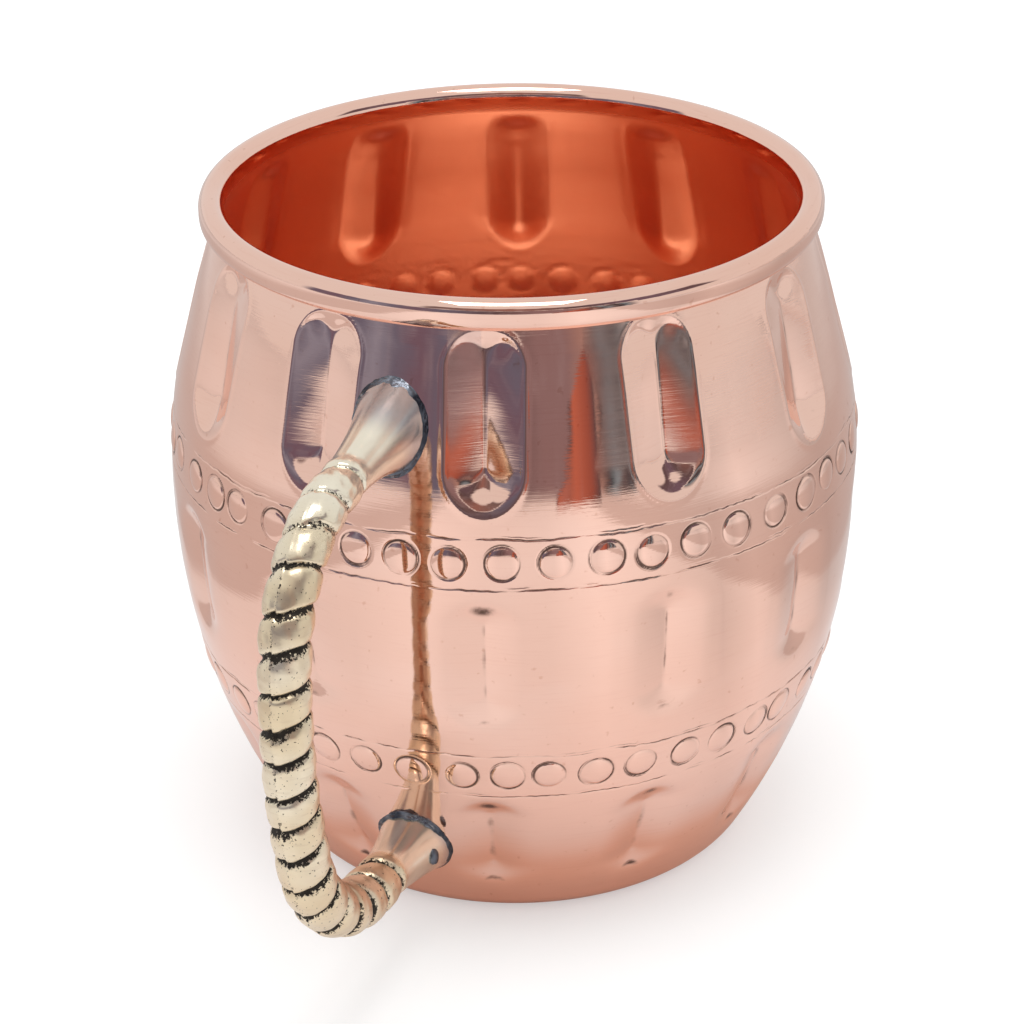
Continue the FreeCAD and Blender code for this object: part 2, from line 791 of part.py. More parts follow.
made = build()
check(made)
write(made)
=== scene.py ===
"""A polished copper barrel mug with a cast brass rope handle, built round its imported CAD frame.

Shapes are worked out in millimetres and turned into metres when a mesh is made. The mug's axis is Z,
its handle lies along +X, and angles round the axis are counted from the handle.
"""

import math

import bpy
import numpy as np
from mathutils import Matrix, Vector


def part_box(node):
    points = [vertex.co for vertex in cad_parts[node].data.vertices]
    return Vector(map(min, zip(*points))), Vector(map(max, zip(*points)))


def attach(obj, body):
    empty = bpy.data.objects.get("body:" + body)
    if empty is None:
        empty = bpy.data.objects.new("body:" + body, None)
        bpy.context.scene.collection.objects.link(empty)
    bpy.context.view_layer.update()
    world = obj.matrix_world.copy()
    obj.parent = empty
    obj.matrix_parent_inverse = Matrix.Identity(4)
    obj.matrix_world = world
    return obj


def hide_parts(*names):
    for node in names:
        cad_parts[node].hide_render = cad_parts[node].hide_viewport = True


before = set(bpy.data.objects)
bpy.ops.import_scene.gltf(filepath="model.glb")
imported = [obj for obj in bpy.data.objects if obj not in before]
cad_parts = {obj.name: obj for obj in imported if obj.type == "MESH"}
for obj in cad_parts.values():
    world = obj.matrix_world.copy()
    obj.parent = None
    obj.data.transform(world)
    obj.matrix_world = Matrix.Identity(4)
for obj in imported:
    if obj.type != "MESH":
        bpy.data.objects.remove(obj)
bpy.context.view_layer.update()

MM = 0.001
TURN = 2 * math.pi
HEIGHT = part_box("body_shell")[1].z / MM

# ---- Driving sizes, in millimetres ----

BELLY_RADIUS = 47.7
BELLY_HEIGHT = 54.0
UPPER_ARC = 94.0
LOWER_ARC = 103.0
FOOT_CORNER = 6.0
DRAWN_IN = {"depth": 0.5, "height": 78.0, "spread": 9.0}
SHEET = 0.9
RIM_RADIUS = 42.0
BEAD_RADIUS = 1.7
BEAD_STRAIGHT = 0.8
CURL_SHEET = 0.7
BASE_DISH = 0.35
INNER_CORNER_TOP = 7.0
INNER_CORNER_REACH = 7.5

FLUTE_COUNT = 12
FLUTE_PHASE = math.radians(15.0)

# Each row of flutes. Its creases run from low to high, and its ends run on past them by below and above.
# depth and half are a flute's depth and half width, and edge, crease and toe how soft its edge, crease and
# ends are. lip is the height of the edge pushed up round it, and lean how much deeper its lower end is.
# steep is how steeply its ends drop, where 1 is as steep as its sides. drift is how far the flutes stand
# from even places, in degrees: a constant, and a part for the square of the flute's number, up to 5.
FLUTE_ROWS = (
    {"low": 73.6, "high": 85.8, "below": 5.6, "above": 4.8, "depth": 1.5, "half": 4.9, "edge": 0.035,
     "crease": 0.16, "toe": 1.0, "lip": 0.085, "lean": 0.27, "steep": 2.0, "drift": (0.9, 0.7)},
    {"low": 41.0, "high": 52.6, "below": 4.4, "above": 4.0, "depth": 1.25, "half": 5.2, "edge": 0.28,
     "crease": 0.08, "toe": 0.7, "lip": 0.0, "lean": 0.0, "steep": 1.0, "drift": (0.6, -0.3)},
    {"low": 10.6, "high": 20.4, "below": 4.0, "above": 4.0, "depth": 1.2, "half": 4.8, "edge": 0.28,
     "crease": 0.14, "toe": 0.7, "lip": 0.0, "lean": 0.0, "steep": 1.0, "drift": (0.5, -0.1)},
)

# Dark marks in each row of flutes, partly residue and partly painted shade and reflection: their strength at
# both ends, a further factor at the lower end, and the width and strength of the painted shade line in the
# crease.
FLUTE_MARKS_AND_SHADE = (
    {"ends": 0.4, "lower": 0.4, "width": 0.15, "line": 0.34},
    {"ends": 1.0, "lower": 0.4, "width": 0.22, "line": 0.44},
    {"ends": 1.0, "lower": 0.75, "width": 0.7, "line": 0.30},
)

# Each band: its row of studs, the two engraved lines that border it, and the seed of its unevenness.
BANDS = (
    {"studs": 46, "phase": 3.2, "middle": 61.9, "lines": (65.1, 58.2), "seed": 5},
    {"studs": 45, "phase": 2.4, "middle": 29.0, "lines": (32.4, 25.3), "seed": 11},
)
STUD_RADIUS = 2.2
STUD_RISE = 0.27
RING_DEPTH = 0.15
RING_WIDTH = 0.17
LINE_DEPTH = 0.12
LINE_WIDTH = 0.10


# ---- Small mathematics ----


def smooth_step(low, high, values):
    share = np.clip((values - low) / (high - low), 0, 1)
    return share * share * (3 - 2 * share)


def bell(values, width):
    return np.exp(-((values / width) ** 2))


def ripple(angle, seed, slow, fast):
    """A wandering value round the axis, about -1 to 1, that joins up with itself."""
    count = 9
    draw = np.random.default_rng(seed)
    turns = draw.integers(slow, fast, count)
    shifts = draw.uniform(0, TURN, count)
    waves = sum(np.sin(turn * angle + shift) for turn, shift in zip(turns, shifts))
    return waves / math.sqrt(count / 2) / 1.6


def wrapped(angle):
    """An angle brought between minus and plus half a turn."""
    return (angle + math.pi) % TURN - math.pi


# ---- The wall's outline and what is pressed into it ----


def wall_radius(z):
    """Outer radius of the barrel at a height: one arc above the belly, drawn in a little, and one below."""
    z = np.asarray(z, float)
    upper = BELLY_RADIUS - UPPER_ARC + np.sqrt(np.maximum(UPPER_ARC**2 - (z - BELLY_HEIGHT) ** 2, 0))
    lower = BELLY_RADIUS - LOWER_ARC + np.sqrt(np.maximum(LOWER_ARC**2 - (z - BELLY_HEIGHT) ** 2, 0))
    drawn = DRAWN_IN["depth"] * bell(z - DRAWN_IN["height"], DRAWN_IN["spread"])
    return np.where(z > BELLY_HEIGHT, upper - drawn, lower)


def foot_corner():
    """The arc between the flat base and the wall: its centre's radius, and the angle where it ends."""
    reach = LOWER_ARC - FOOT_CORNER
    drop = BELLY_HEIGHT - FOOT_CORNER
    aside = math.sqrt(reach**2 - drop**2)
    return BELLY_RADIUS - LOWER_ARC + aside, math.atan2(-drop, aside)


def from_crease(angle, radius, row):
    """Distance round the wall from the nearest crease, and which flute it is, counted from the handle."""
    index = np.round((angle - FLUTE_PHASE) / TURN * FLUTE_COUNT)
    index = (index + FLUTE_COUNT / 2) % FLUTE_COUNT - FLUTE_COUNT / 2
    drift = np.radians(row["drift"][0] + row["drift"][1] * np.minimum(index**2, 5))
    even = wrapped((angle - FLUTE_PHASE) * FLUTE_COUNT) / FLUTE_COUNT
    return radius * (even - drift), index


def flute_depth(angle, z, radius, soften=0.0):
    """How far the flutes sink the wall: V-shaped valleys that run out in rounded ends.

    soften is 0 on the outside of the wall and 1 on the inside, where the sheet blunts every edge.
    """
    total = np.zeros(np.broadcast(angle, z).shape)
    for number, row in enumerate(FLUTE_ROWS):
        aside, index = from_crease(angle, radius, row)
        wander = 0.2 * np.sin(index * 2.4 + number)
        half = (row["half"] + 0.1 * np.sin(index * 5.1 + number)) * (1 - 0.14 * soften)
        under = np.maximum(row["low"] + wander - z, 0) * half / row["below"]
        over = np.maximum(z - row["high"] - wander, 0) * half / (row["above"] + 2.5 * soften)
        crease = row["crease"] + 0.45 * soften
        away = np.sqrt(aside**2 + under**2 + over**2 + crease**2) - crease
        valley = 1 - (np.sqrt(aside**2 + under**2 + crease**2) - crease) / half
        # the ends are cut by a steeper cap, bowed at the top, which meets the valley in a small round
        steep = (row["steep"] - 1) * (1 - soften)
        bowed = 1 + 6 * steep * (over > 0) * (aside / half) ** 2
        cap = (1 + steep) * bowed * (1 - away / half)
        round_off = 0.08 * steep
        share = (valley + cap - np.sqrt((valley - cap) ** 2 + round_off**2)) / 2
        # the edge of the flute is rounded into the wall, and its ends swell into a smooth step
        edge = row["edge"] + 0.22 * soften
        share = (share + np.sqrt(share**2 + edge**2)) / 2
        share -= (np.sqrt(1 + edge**2) - 1) / 2
        toe = row["toe"] * smooth_step(0.0, 0.7, (under + over) / half)
        share += toe * (smooth_step(0, 1, share) - np.clip(share, 0, 1))
        share = np.where(away < 1.6 * half, share, 0) * (1 - smooth_step(1.3, 1.6, away / half))
        middle = (row["low"] + row["high"]) / 2
        below_middle = (middle - z) / (row["high"] - row["low"]) * 2
        lean = 1 + row["lean"] * np.clip(below_middle, -1.2, 1.2)
        total += lean * row["depth"] * share
        total -= row["lip"] * bell(away - half - 0.15, 0.3)
    return total


def stud_places(band):
    """Angles and heights of a band's studs, each a little off its even place."""
    draw = np.random.default_rng(band["seed"])
    count = band["studs"]
    even = math.radians(band["phase"]) + np.arange(count) * TURN / count
    return even + draw.normal(0, 0.009, count), band["middle"] + draw.normal(0, 0.12, count)


def band_relief(angle, z, radius):
    """Height of the studs and lines above the wall, and how much dark residue they hold."""
    height = np.zeros(np.broadcast(angle, z).shape)
    dirt_and_shade = np.zeros_like(height)
    for band in BANDS:
        near_band = (z > band["lines"][1] - 2) & (z < band["lines"][0] + 2)
        if not near_band.any():
            continue
        angles, heights = stud_places(band)
        count = band["studs"]
        nearest = np.round((angle - math.radians(band["phase"])) / TURN * count).astype(int)
        for offset in (-1, 0, 1):
            which = (nearest + offset) % count
            across = radius * wrapped(angle - angles[which])
            up = z - heights[which]
            away = np.sqrt(across**2 + up**2)
            size = STUD_RADIUS * (1 + 0.03 * np.sin(which * 3.7))
            dome = STUD_RISE * np.clip(1 - (away / (size - 0.1)) ** 2, 0, 1) ** 0.8
            around = np.arctan2(up, across)
            uneven = 0.65 + 0.35 * np.sin(around + which * 1.9)
            ring = bell(away - size, RING_WIDTH) * uneven
            second_side = np.clip(np.cos(around - which * 0.8), 0, 1)
            second = bell(away - size - 0.28, RING_WIDTH * 0.7) * second_side
            inside = np.abs(across) < radius * math.pi / count * 1.2
            height += np.where(inside, dome - RING_DEPTH * (ring + 0.5 * second), 0)
            dirt_and_shade = np.maximum(dirt_and_shade, np.where(inside, np.maximum(ring, 0.8 * second), 0))
        for number, level in enumerate(band["lines"]):
            seed = band["seed"] * 7 + number
            drift = 0.12 * ripple(angle, seed, 2, 30) + 0.05 * ripple(angle, seed + 1, 60, 200)
            strength = np.clip(0.72 + 0.6 * ripple(angle, seed + 2, 5, 60), 0.12, 1)
            line = bell(z - level - drift, LINE_WIDTH) * strength
            twin_strength = np.clip(0.8 * ripple(angle, seed + 3, 4, 40) - 0.1, 0, 1)
            twin = bell(z - level - drift - 0.42, LINE_WIDTH) * twin_strength
            height -= LINE_DEPTH * (line + 0.6 * twin)
            dirt_and_shade = np.maximum(dirt_and_shade, 0.8 * np.maximum(line, 0.8 * twin))
    return height, dirt_and_shade


def hand_work(angle, z):
    """Slow unevenness left by spinning and hammering."""
    slow = 0.035 * ripple(angle, 3, 2, 9) * np.sin(z / 17.0 + 0.6)
    dents = 0.016 * ripple(angle, 4, 9, 26) * np.sin(z / 6.1 + 1.3 * np.sin(3 * angle))
    rings = 0.006 * np.sin(z / 0.93 + 0.8 * np.sin(angle * 2))
    return slow + dents + rings


def flute_marks_and_painted_shade(angle, z, radius):
    """Dark marks at the crease ends, partly residue and partly painted shade and reflection, much stronger
    on some flutes than others; a painted shade line along each crease; and a band of painted shade under the
    bead.
    """
    # a band of painted shade in the crevice just under the bead
    found = smooth_step(BEAD_UNDERSIDE - 0.55, BEAD_UNDERSIDE - 0.1, z) * 0.75
    for number, (row, marks_and_shade) in enumerate(zip(FLUTE_ROWS, FLUTE_MARKS_AND_SHADE)):
        aside, index = from_crease(angle, radius, row)
        # dark marks at both ends of each crease: partly residue, partly painted shade and reflection, much
        # stronger on some flutes
        full = 0.5 + 0.5 * np.sin(index * 4.3 + number * 0.5 + 1.2)
        above_crease = z - row["high"] - 0.6 * row["above"]
        top = bell(np.hypot(aside / (0.5 + 1.1 * full), above_crease / 0.85), 1.0)
        below_crease = z - row["low"] + 0.7 * row["below"]
        end = bell(np.hypot(aside / 1.3, below_crease / 0.4 + (aside / 1.3) ** 2), 1.0)
        ends = np.maximum(top * (0.2 + 0.6 * full), marks_and_shade["lower"] * end)
        found = np.maximum(found, ends * marks_and_shade["ends"])
        # a painted shade line down each crease; on the lowest row it is wide, a painted reflection
        along = smooth_step(row["low"] - 1, row["low"] + 2, z)
        along = along * (1 - smooth_step(row["high"] - 1, row["high"] + 1, z))
        painted_crease_shade = bell(aside, marks_and_shade["width"]) * along * marks_and_shade["line"]
        found = np.maximum(found, painted_crease_shade * (1 + 0.4 * np.sin(z * 1.1 + index * 2.3)))
    return found


def brushed(angle, z, radius):
    """Where the polish has left close brush lines: on one side of two upper flutes, and in patches."""
    aside, index = from_crease(angle, radius, FLUTE_ROWS[0])
    upper = smooth_step(70, 74, z)
    side = np.where(index == 1, aside, -aside)
    facet = smooth_step(0.2, 0.5, side) * (1 - smooth_step(4.4, 5.2, side))
    strength = np.where(index == 1, 0.7, 0.15)
    facet = facet * np.where(index == 0, 0.6 + 0.4 * smooth_step(75, 84, z), strength)
    patches = smooth_step(0.25, 0.7, ripple(angle - 0.02 * np.sin(z / 3), 77, 5, 17))
    return upper * np.maximum(facet, 0.7 * patches)


# ---- Meshes ----


def add_object(name, data):
    """A new object in the scene."""
    added = bpy.data.objects.new(name, data)
    bpy.context.scene.collection.objects.link(added)
    return added


def make_mesh(name, points, face_sizes, corners, attributes=None):
    """A smooth mesh object from points in millimetres and faces of any size."""
    mesh = bpy.data.meshes.new(name)
    mesh.vertices.add(len(points))
    mesh.vertices.foreach_set("co", (np.asarray(points, float) * MM).astype(np.float32).ravel())
    mesh.loops.add(len(corners))
    mesh.loops.foreach_set("vertex_index", np.asarray(corners, np.int32))
    mesh.polygons.add(len(face_sizes))
    starts = np.concatenate(([0], np.cumsum(face_sizes)[:-1])).astype(np.int32)
    mesh.polygons.foreach_set("loop_start", starts)
    mesh.polygons.foreach_set("use_smooth", np.ones(len(face_sizes), bool))
    for key, values in (attributes or {}).items():
        layer = mesh.attributes.new(key, "FLOAT", "POINT")
        layer.data.foreach_set("value", np.asarray(values, np.float32))
    mesh.update(calc_edges=True)
    mesh.validate()
    return add_object(name, mesh)


def strip(lower_start, lower_count, upper_start, upper_count):
    """Faces between two closed rings: one may be a single point, or have a whole number of times as many."""
    count = max(lower_count, upper_count)
    k = np.arange(count)
    following = (k + 1) % count
    if upper_count == 1:
        return np.stack([lower_start + k, lower_start + following, np.full(count, upper_start)], 1)
    if lower_count == 1:
        return np.stack([np.full(count, lower_start), upper_start + following, upper_start + k], 1)
    coarse = min(lower_count, upper_count)
    k = np.arange(coarse)
    low_each, up_each = lower_count // coarse, upper_count // coarse
    columns = [lower_start + (k * low_each + step) % lower_count for step in range(low_each + 1)]
    columns += [upper_start + (k * up_each + step) % upper_count for step in range(up_each, -1, -1)]
    return np.stack(columns, 1)


def lathe_faces(counts, closed=False):
    """Face sizes and corners for rings with the given numbers of points, in a stack or a closed loop."""
    starts = np.concatenate(([0], np.cumsum(counts)[:-1])).astype(int)
    pairs = list(zip(range(len(counts) - 1), range(1, len(counts))))
    if closed:
        pairs.append((len(counts) - 1, 0))
    sizes, corners = [], []
    for low, high in pairs:
        faces = strip(starts[low], counts[low], starts[high], counts[high])
        sizes.append(np.full(len(faces), faces.shape[1]))
        corners.append(faces.ravel())
    return np.concatenate(sizes), np.concatenate(corners)


def in_band(z):
    return any(band["lines"][1] - 0.8 < z < band["lines"][0] + 0.8 for band in BANDS)


def level_step(z):
    """The gap to the next ring up: least at the engraved lines, more elsewhere in a band, most beyond it."""
    if not in_band(z):
        return 0.36
    near_line = any(abs(z - line - 0.1) < 0.6 for band in BANDS for line in band["lines"])
    return 0.09 if near_line else 0.16


def wall_levels(low, high):
    """Heights of the rings up the outside of the wall."""
    levels = [low]
    while levels[-1] < high:
        levels.append(levels[-1] + level_step(levels[-1]))
    levels[-1] = high
    return np.array(levels)


def wall_tilt(z):
    """How far the wall leans inwards at a height."""
    slope = float(wall_radius(z + 0.05) - wall_radius(z - 0.05)) / 0.1
    return math.atan(-slope)


def outer_wall_rings(columns):
    """Rings up the outside: angle, radius and height of each point, its residue and painted shade, and its
    brush lines.
    """
    rings = []
    foot_height = FOOT_CORNER * (1 + math.sin(foot_corner()[1]))
    for z in wall_levels(foot_height, BEAD_UNDERSIDE):
        count = columns * 2 if in_band(z) else columns
        angle = np.arange(count) * TURN / count
        radius = wall_radius(z)
        tilt = wall_tilt(z)
        level = np.full(count, z)
        relief, dirt_and_shade = band_relief(angle, level, radius)
        fade = smooth_step(foot_height, foot_height + 4, z) * (1 - smooth_step(89.5, BEAD_UNDERSIDE, z))
        push = relief - flute_depth(angle, level, radius) + hand_work(angle, level) * fade
        # besides the residue in the engraving, this takes the painted shade and reflections at the flutes
        # and under the bead
        dirt_and_shade = np.maximum(dirt_and_shade, flute_marks_and_painted_shade(angle, level, radius))
        brush = brushed(angle, level, radius)
        rings.append((angle, radius + push * math.cos(tilt), level + push * math.sin(tilt), dirt_and_shade, brush))
    return rings


BEAD_CENTRE = RIM_RADIUS - BEAD_RADIUS
BEAD_LOW = HEIGHT - BEAD_RADIUS - BEAD_STRAIGHT
BEAD_HIGH = HEIGHT - BEAD_RADIUS
BEAD_UNDERSIDE = HEIGHT - 2 * BEAD_RADIUS - BEAD_STRAIGHT + 0.35


def slot_outline(radius, start, end, count):
    """Points round an upright slot about the bead's centre, from one angle to another, in degrees."""
    turns = np.radians(np.linspace(start, end, count))
    across = BEAD_CENTRE + radius * np.cos(turns)
    middle = np.where(np.sin(turns) > 0, BEAD_HIGH, BEAD_LOW)
    return list(zip(across, middle + radius * np.sin(turns)))


def rim_outline():
    """The curl: in through the slit, round the wire's hollow, out again and over the bead."""
    hollow = BEAD_RADIUS - CURL_SHEET
    inward = slot_outline(hollow, 262, -82, 30)
    outward = slot_outline(BEAD_RADIUS, -80, 180, 44)
    return inward + outward


def plain_rings(outline, columns):
    """Clean, perfectly round rings through the radius and height of each point of an outline."""
    rings = []
    angle = np.arange(columns) * TURN / columns
    for radius, z in outline:
        rings.append((angle, np.full(columns, radius), np.full(columns, z), np.zeros(columns)))
    return rings


def inner_wall_rings(columns):
    """Rings down the inside, where every flute stands out as a ridge and every stud is a dimple."""
    rings = []
    angle = np.arange(columns) * TURN / columns
    for z in np.linspace(BEAD_LOW - 0.6, INNER_CORNER_TOP, 190):
        radius = wall_radius(z)
        tilt = wall_tilt(z)
        level = np.full(columns, z)
        relief, dirt_and_shade = band_relief(angle, level, radius)
        fade = 1 - smooth_step(89.0, 91.0, z)
        worked = hand_work(angle, level) - flute_depth(angle, level, radius, 1.0)
        push = relief * 0.9 + worked * fade - SHEET
        rings.append((angle, radius + push * math.cos(tilt), level + push * math.sin(tilt), dirt_and_shade * 0.3))
    return rings


def inner_floor_rings(columns):
    """Rings round the inside corner and across the flat floor."""
    floor_edge = float(wall_radius(INNER_CORNER_TOP)) - SHEET
    drop = INNER_CORNER_TOP - SHEET
    turns = np.linspace(0.12, 1, 14) * math.pi / 2
    reach = INNER_CORNER_REACH
    corner = [(floor_edge - reach * (1 - math.cos(a)), INNER_CORNER_TOP - drop * math.sin(a)) for a in turns]
    floor = [(share * (floor_edge - reach), SHEET) for share in np.linspace(0.96, 0.04, 20)]
    return plain_rings(corner + floor, columns)


def middle_point(z):
    """A ring shrunk to one point on the axis."""
    return [(np.zeros(1), np.zeros(1), np.full(1, z), np.zeros(1))]


def copper_body():
    """The whole cup as one closed skin: base, wall, curl, inside and floor."""
    columns = 960
    inner_columns = 480
    base_radius, wall_start = foot_corner()
    rings = middle_point(BASE_DISH)
    under = [(base_radius * share, BASE_DISH * (1 - share**6)) for share in np.linspace(0.04, 1, 16)]
    rings += plain_rings(under, inner_columns)
    turns = np.linspace(-math.pi / 2, wall_start, 12)[1:-1]
    edge = [(base_radius + FOOT_CORNER * math.cos(a), FOOT_CORNER * (1 + math.sin(a))) for a in turns]
    rings += plain_rings(edge, columns)
    rings += outer_wall_rings(columns)
    rings += plain_rings(rim_outline(), columns)
    inner_start = len(rings)
    rings += inner_wall_rings(inner_columns)
    rings += inner_floor_rings(inner_columns)
    rings += middle_point(SHEET)
    counts = [len(ring[0]) for ring in rings]
    points = np.concatenate(
        [np.stack([ring[1] * np.cos(ring[0]), ring[1] * np.sin(ring[0]), ring[2]], 1) for ring in rings]
    )
    attributes = {
        # residue in the engraving, with the painted shade and reflections at the flutes and under the bead
        "dirt_and_shade": np.concatenate([ring[3] for ring in rings]),
        "inside": np.repeat(np.arange(len(rings)) >= inner_start, counts),
        "brush": np.concatenate([ring[4] if len(ring) > 4 else np.zeros(len(ring[0])) for ring in rings]),
    }
    sizes, corners = lathe_faces(counts)
    return make_mesh("copper_cup", points, sizes, corners, attributes)


# ---- Handle ----

HANDLE_REACH = 77.9
GRIP_MIDDLE = 54.0
GRIP_ARC = 76.0
ROPE_PITCH = 5.0
ROPE_DEPTH = 0.5

# Each arm: where it meets the wall, its rise, the radius of its bend, the length of its flared foot, and how
# much taller and wider the foot is than the bar where it ends.
ARMS = {
    "upper": {
        "height": 78.2, "rise": math.radians(-3.5), "corner": 16.5, "length": 13.0, "flare": (3.3, 2.2)
    },
    "lower": {
        "height": 14.4, "rise": math.radians(6.5), "corner": 22.5, "length": 11.5, "flare": (2.6, 2.0)
    },
}
WIDTH_SHARE = 0.985


def centre_line(spacing):
    """The handle's centre line from the upper wall to the lower one: points, and distances along it."""
    grip = np.array([HANDLE_REACH - GRIP_ARC, GRIP_MIDDLE])
    pieces = {}
    for name, arm in ARMS.items():
        start = np.array([float(wall_radius(arm["height"])), arm["height"]])
        along = np.array([math.cos(arm["rise"]), math.sin(arm["rise"])])
        inward = -1 if name == "upper" else 1
        side = np.array([-along[1], along[0]]) * inward
        offset = start + side * arm["corner"] - grip
        half = offset @ along
        travel = -half + math.sqrt(half**2 - offset @ offset + (GRIP_ARC - arm["corner"]) ** 2)
        centre = grip + offset + along * travel
        touch = centre - side * arm["corner"]
        lean = math.atan2(*(centre - grip)[::-1])
        pieces[name] = (start, touch, centre, math.atan2(*(-side)[::-1]), lean, arm["corner"])

    def arc(centre, radius, first, last):
        count = max(int(abs(last - first) * radius / spacing), 2)
        turns = np.linspace(first, last, count + 1)[1:]
        return centre + radius * np.stack([np.cos(turns), np.sin(turns)], 1)

    def line(first, last):
        count = max(int(np.linalg.norm(last - first) / spacing), 2)
        return first + (last - first) * np.linspace(0, 1, count + 1)[1:, None]

    start, touch, centre, to_arm, lean, corner = pieces["upper"]
    route = [start[None, :], line(start, touch), arc(centre, corner, to_arm, lean)]
    low_start, low_touch, low_centre, low_to_arm, low_lean, low_corner = pieces["lower"]
    route.append(arc(grip, GRIP_ARC, lean, low_lean))
    route.append(arc(low_centre, low_corner, low_lean, low_to_arm))
    route.append(line(low_touch, low_start))
    points = np.concatenate(route)
    steps = np.linalg.norm(np.diff(points, axis=0), axis=1)
    distance = np.concatenate(([0], np.cumsum(steps)))
    even = np.linspace(0, distance[-1], int(distance[-1] / spacing) + 1)
    return np.stack([np.interp(even, distance, points[:, k]) for k in (0, 1)], 1), even


def bar_radius(distance, length):
    """Half thickness of the bar along the centre line: slim necks, fuller towards the lower bend."""
    share = distance / length
    body = 2.95 + 0.28 * np.sin(math.pi * np.clip(share, 0, 1)) + 0.42 * smooth_step(0.45, 0.8, share)
    return body - 0.3 * smooth_step(0.86, 0.93, share) - 0.25 * (1 - smooth_step(0.08, 0.2, share))


def foot_flare(name, share):
    """How much taller and wider a foot is than the bar, at a share of the way from the bar to the wall."""
    share = np.clip(share, 0, 1)
    flare = 0.45 * share + 0.55 * share**2.2
    taller, wider = ARMS[name]["flare"]
    return taller * flare, wider * flare


def foot_size(name, out):
    """Half height and half width of a foot at a distance out from the wall."""
    length = centre_line(0.5)[1][-1]
    base = float(bar_radius(out if name == "upper" else length - out, length))
    taller, wider = foot_flare(name, 1 - out / ARMS[name]["length"])
    return base + taller, base * WIDTH_SHARE + wider


def rope_pattern(s, a, length):
    """The cast twist at each place along and round the bar: its relief, its residue and its strength."""
    start = ARMS["upper"]["length"] + 0.2
    end = length - ARMS["lower"]["length"] + 0.6
    rope = smooth_step(start - 1.0, start + 1.5, s) * (1 - smooth_step(end - 1.0, end + 1.0, s))
    near_top = 1 - smooth_step(start + 8, start + 20, s)
    # the groove winds once round the bar for each pitch, and steps a little at the mould's parting line
    parting = np.abs(wrapped(a - 0.12))
    slip = 0.21 * bell(wrapped(a - 0.02), 0.4) * np.sign(wrapped(a - 0.12))
    wander = 0.22 * np.sin(s * 0.83 + 1.0) + 0.12 * np.sin(s * 2.1)
    late = 2.4 * (1 - smooth_step(start + 8, start + 55, s))
    phase = (s + wander + slip - start - late) / ROPE_PITCH - a / TURN
    below = (phase - np.round(phase)) * ROPE_PITCH
    away = np.abs(below)
    uneven = 0.85 + 0.15 * np.sin(a * 3 + s * 0.9) + 0.1 * np.sin(a * 7 + s * 2.3)
    groove = np.where(below < 0, bell(below, 0.3), bell(below, 0.62)) * uneven
    strand = 0.26 * (1 - (1 - 2 * away / ROPE_PITCH) ** 2)
    relief = rope * (strand - 0.12 - ROPE_DEPTH * (1 - 0.4 * near_top) * groove)
    seam = smooth_step(4, 12, s) * (1 - smooth_step(length - 12, length - 5, s))
    relief = relief + 0.05 * bell(parting, 0.07) * seam
    relief = relief + rope * 0.02 * (np.sin(s * 3.1 + 2 * np.sin(a * 2)) + np.sin(a * 11 + s * 1.7))
    reach = np.where(below < 0, 0.42, 1.4 * (0.75 + 0.25 * np.sin(a * 2 + s * 0.4)))
    dirt_and_shade = rope * np.clip(1.15 - away / reach, 0, 1) * (1 - 0.5 * near_top)
    dirt_and_shade = np.maximum(dirt_and_shade, 0.42 * bell(parting, 0.1) * rope * (1 - near_top))
    return relief, dirt_and_shade, np.broadcast_to(rope * (1 - 0.85 * near_top), dirt_and_shade.shape)


def handle_casting():
    """The twisted bar with its two flared feet, each ending in the curve of the wall."""
    line, distance = centre_line(0.14)
    length = distance[-1]
    around_count = 128
    tangent = np.gradient(line, axis=0)
    tangent /= np.linalg.norm(tangent, axis=1)[:, None]
    outward = np.stack([-tangent[:, 1], tangent[:, 0]], 1)
    s = distance[:, None]
    a = (np.arange(around_count) * TURN / around_count)[None, :]
    radius = bar_radius(distance, length)[:, None]
    relief, dirt_and_shade, twist = rope_pattern(s, a, length)
    tall = radius + relief
    wide = radius * WIDTH_SHARE + relief
    towards_wall = {
        "upper": 1 - s / ARMS["upper"]["length"],
        "lower": 1 - (length - s) / ARMS["lower"]["length"],
    }
    for name, share in towards_wall.items():
        taller, wider = foot_flare(name, share)
        tall = tall + taller
        wide = wide + wider
    x = line[:, 0][:, None] + outward[:, 0][:, None] * tall * np.cos(a)
    z = line[:, 1][:, None] + outward[:, 1][:, None] * tall * np.cos(a)
    y = -wide * np.sin(a)
    # near the wall each line along the foot is stretched or shortened to end just under the surface
    for name, share in towards_wall.items():
        target = np.sqrt(np.maximum(wall_radius(z) ** 2 - y**2, 1)) - 0.3
        middle = float(wall_radius(ARMS[name]["height"]))
        x = x + smooth_step(0, 1, share) * (target - middle)
    # the side that faces the cup is painted darker and browner, less so towards the lower foot, and both
    # ends are greyed
    back = smooth_step(0.15, 0.75, -np.cos(a)) * (1 - 0.75 * smooth_step(length - 34, length - 18, s))
    grey_end = (1 - smooth_step(2.0, 6.5, s - 2.2 * np.cos(a))) + (1 - smooth_step(0.3, 2.2, length - s))
    points = np.stack([x, y, z], 2).reshape(-1, 3)
    caps = np.array([points[:around_count].mean(0), points[-around_count:].mean(0)])
    points = np.concatenate([caps[:1], points, caps[1:]])
    sizes, corners = lathe_faces([1] + [around_count] * len(line) + [1])
    values = {"dirt_and_shade": dirt_and_shade * (1 - 0.7 * back), "twist": twist, "grey_end": grey_end, "back": back}
    attributes = {key: np.pad(value.ravel(), 1) for key, value in values.items()}
    return make_mesh("rope_handle", points, sizes, corners, attributes)


# How far each fillet creeps up its foot: a least value, how much more at the top, and the width of that in
# radians. How far it spreads over the wall: an even value, and how much more at the top.
FILLETS = {
    "upper": {"creep": (0.6, 0.5, 0.6), "spread": (0.30, -0.10), "seed": 41},
    "lower": {"creep": (0.35, 0.4, 0.8), "spread": (0.22, 0.14), "seed": 57},
}


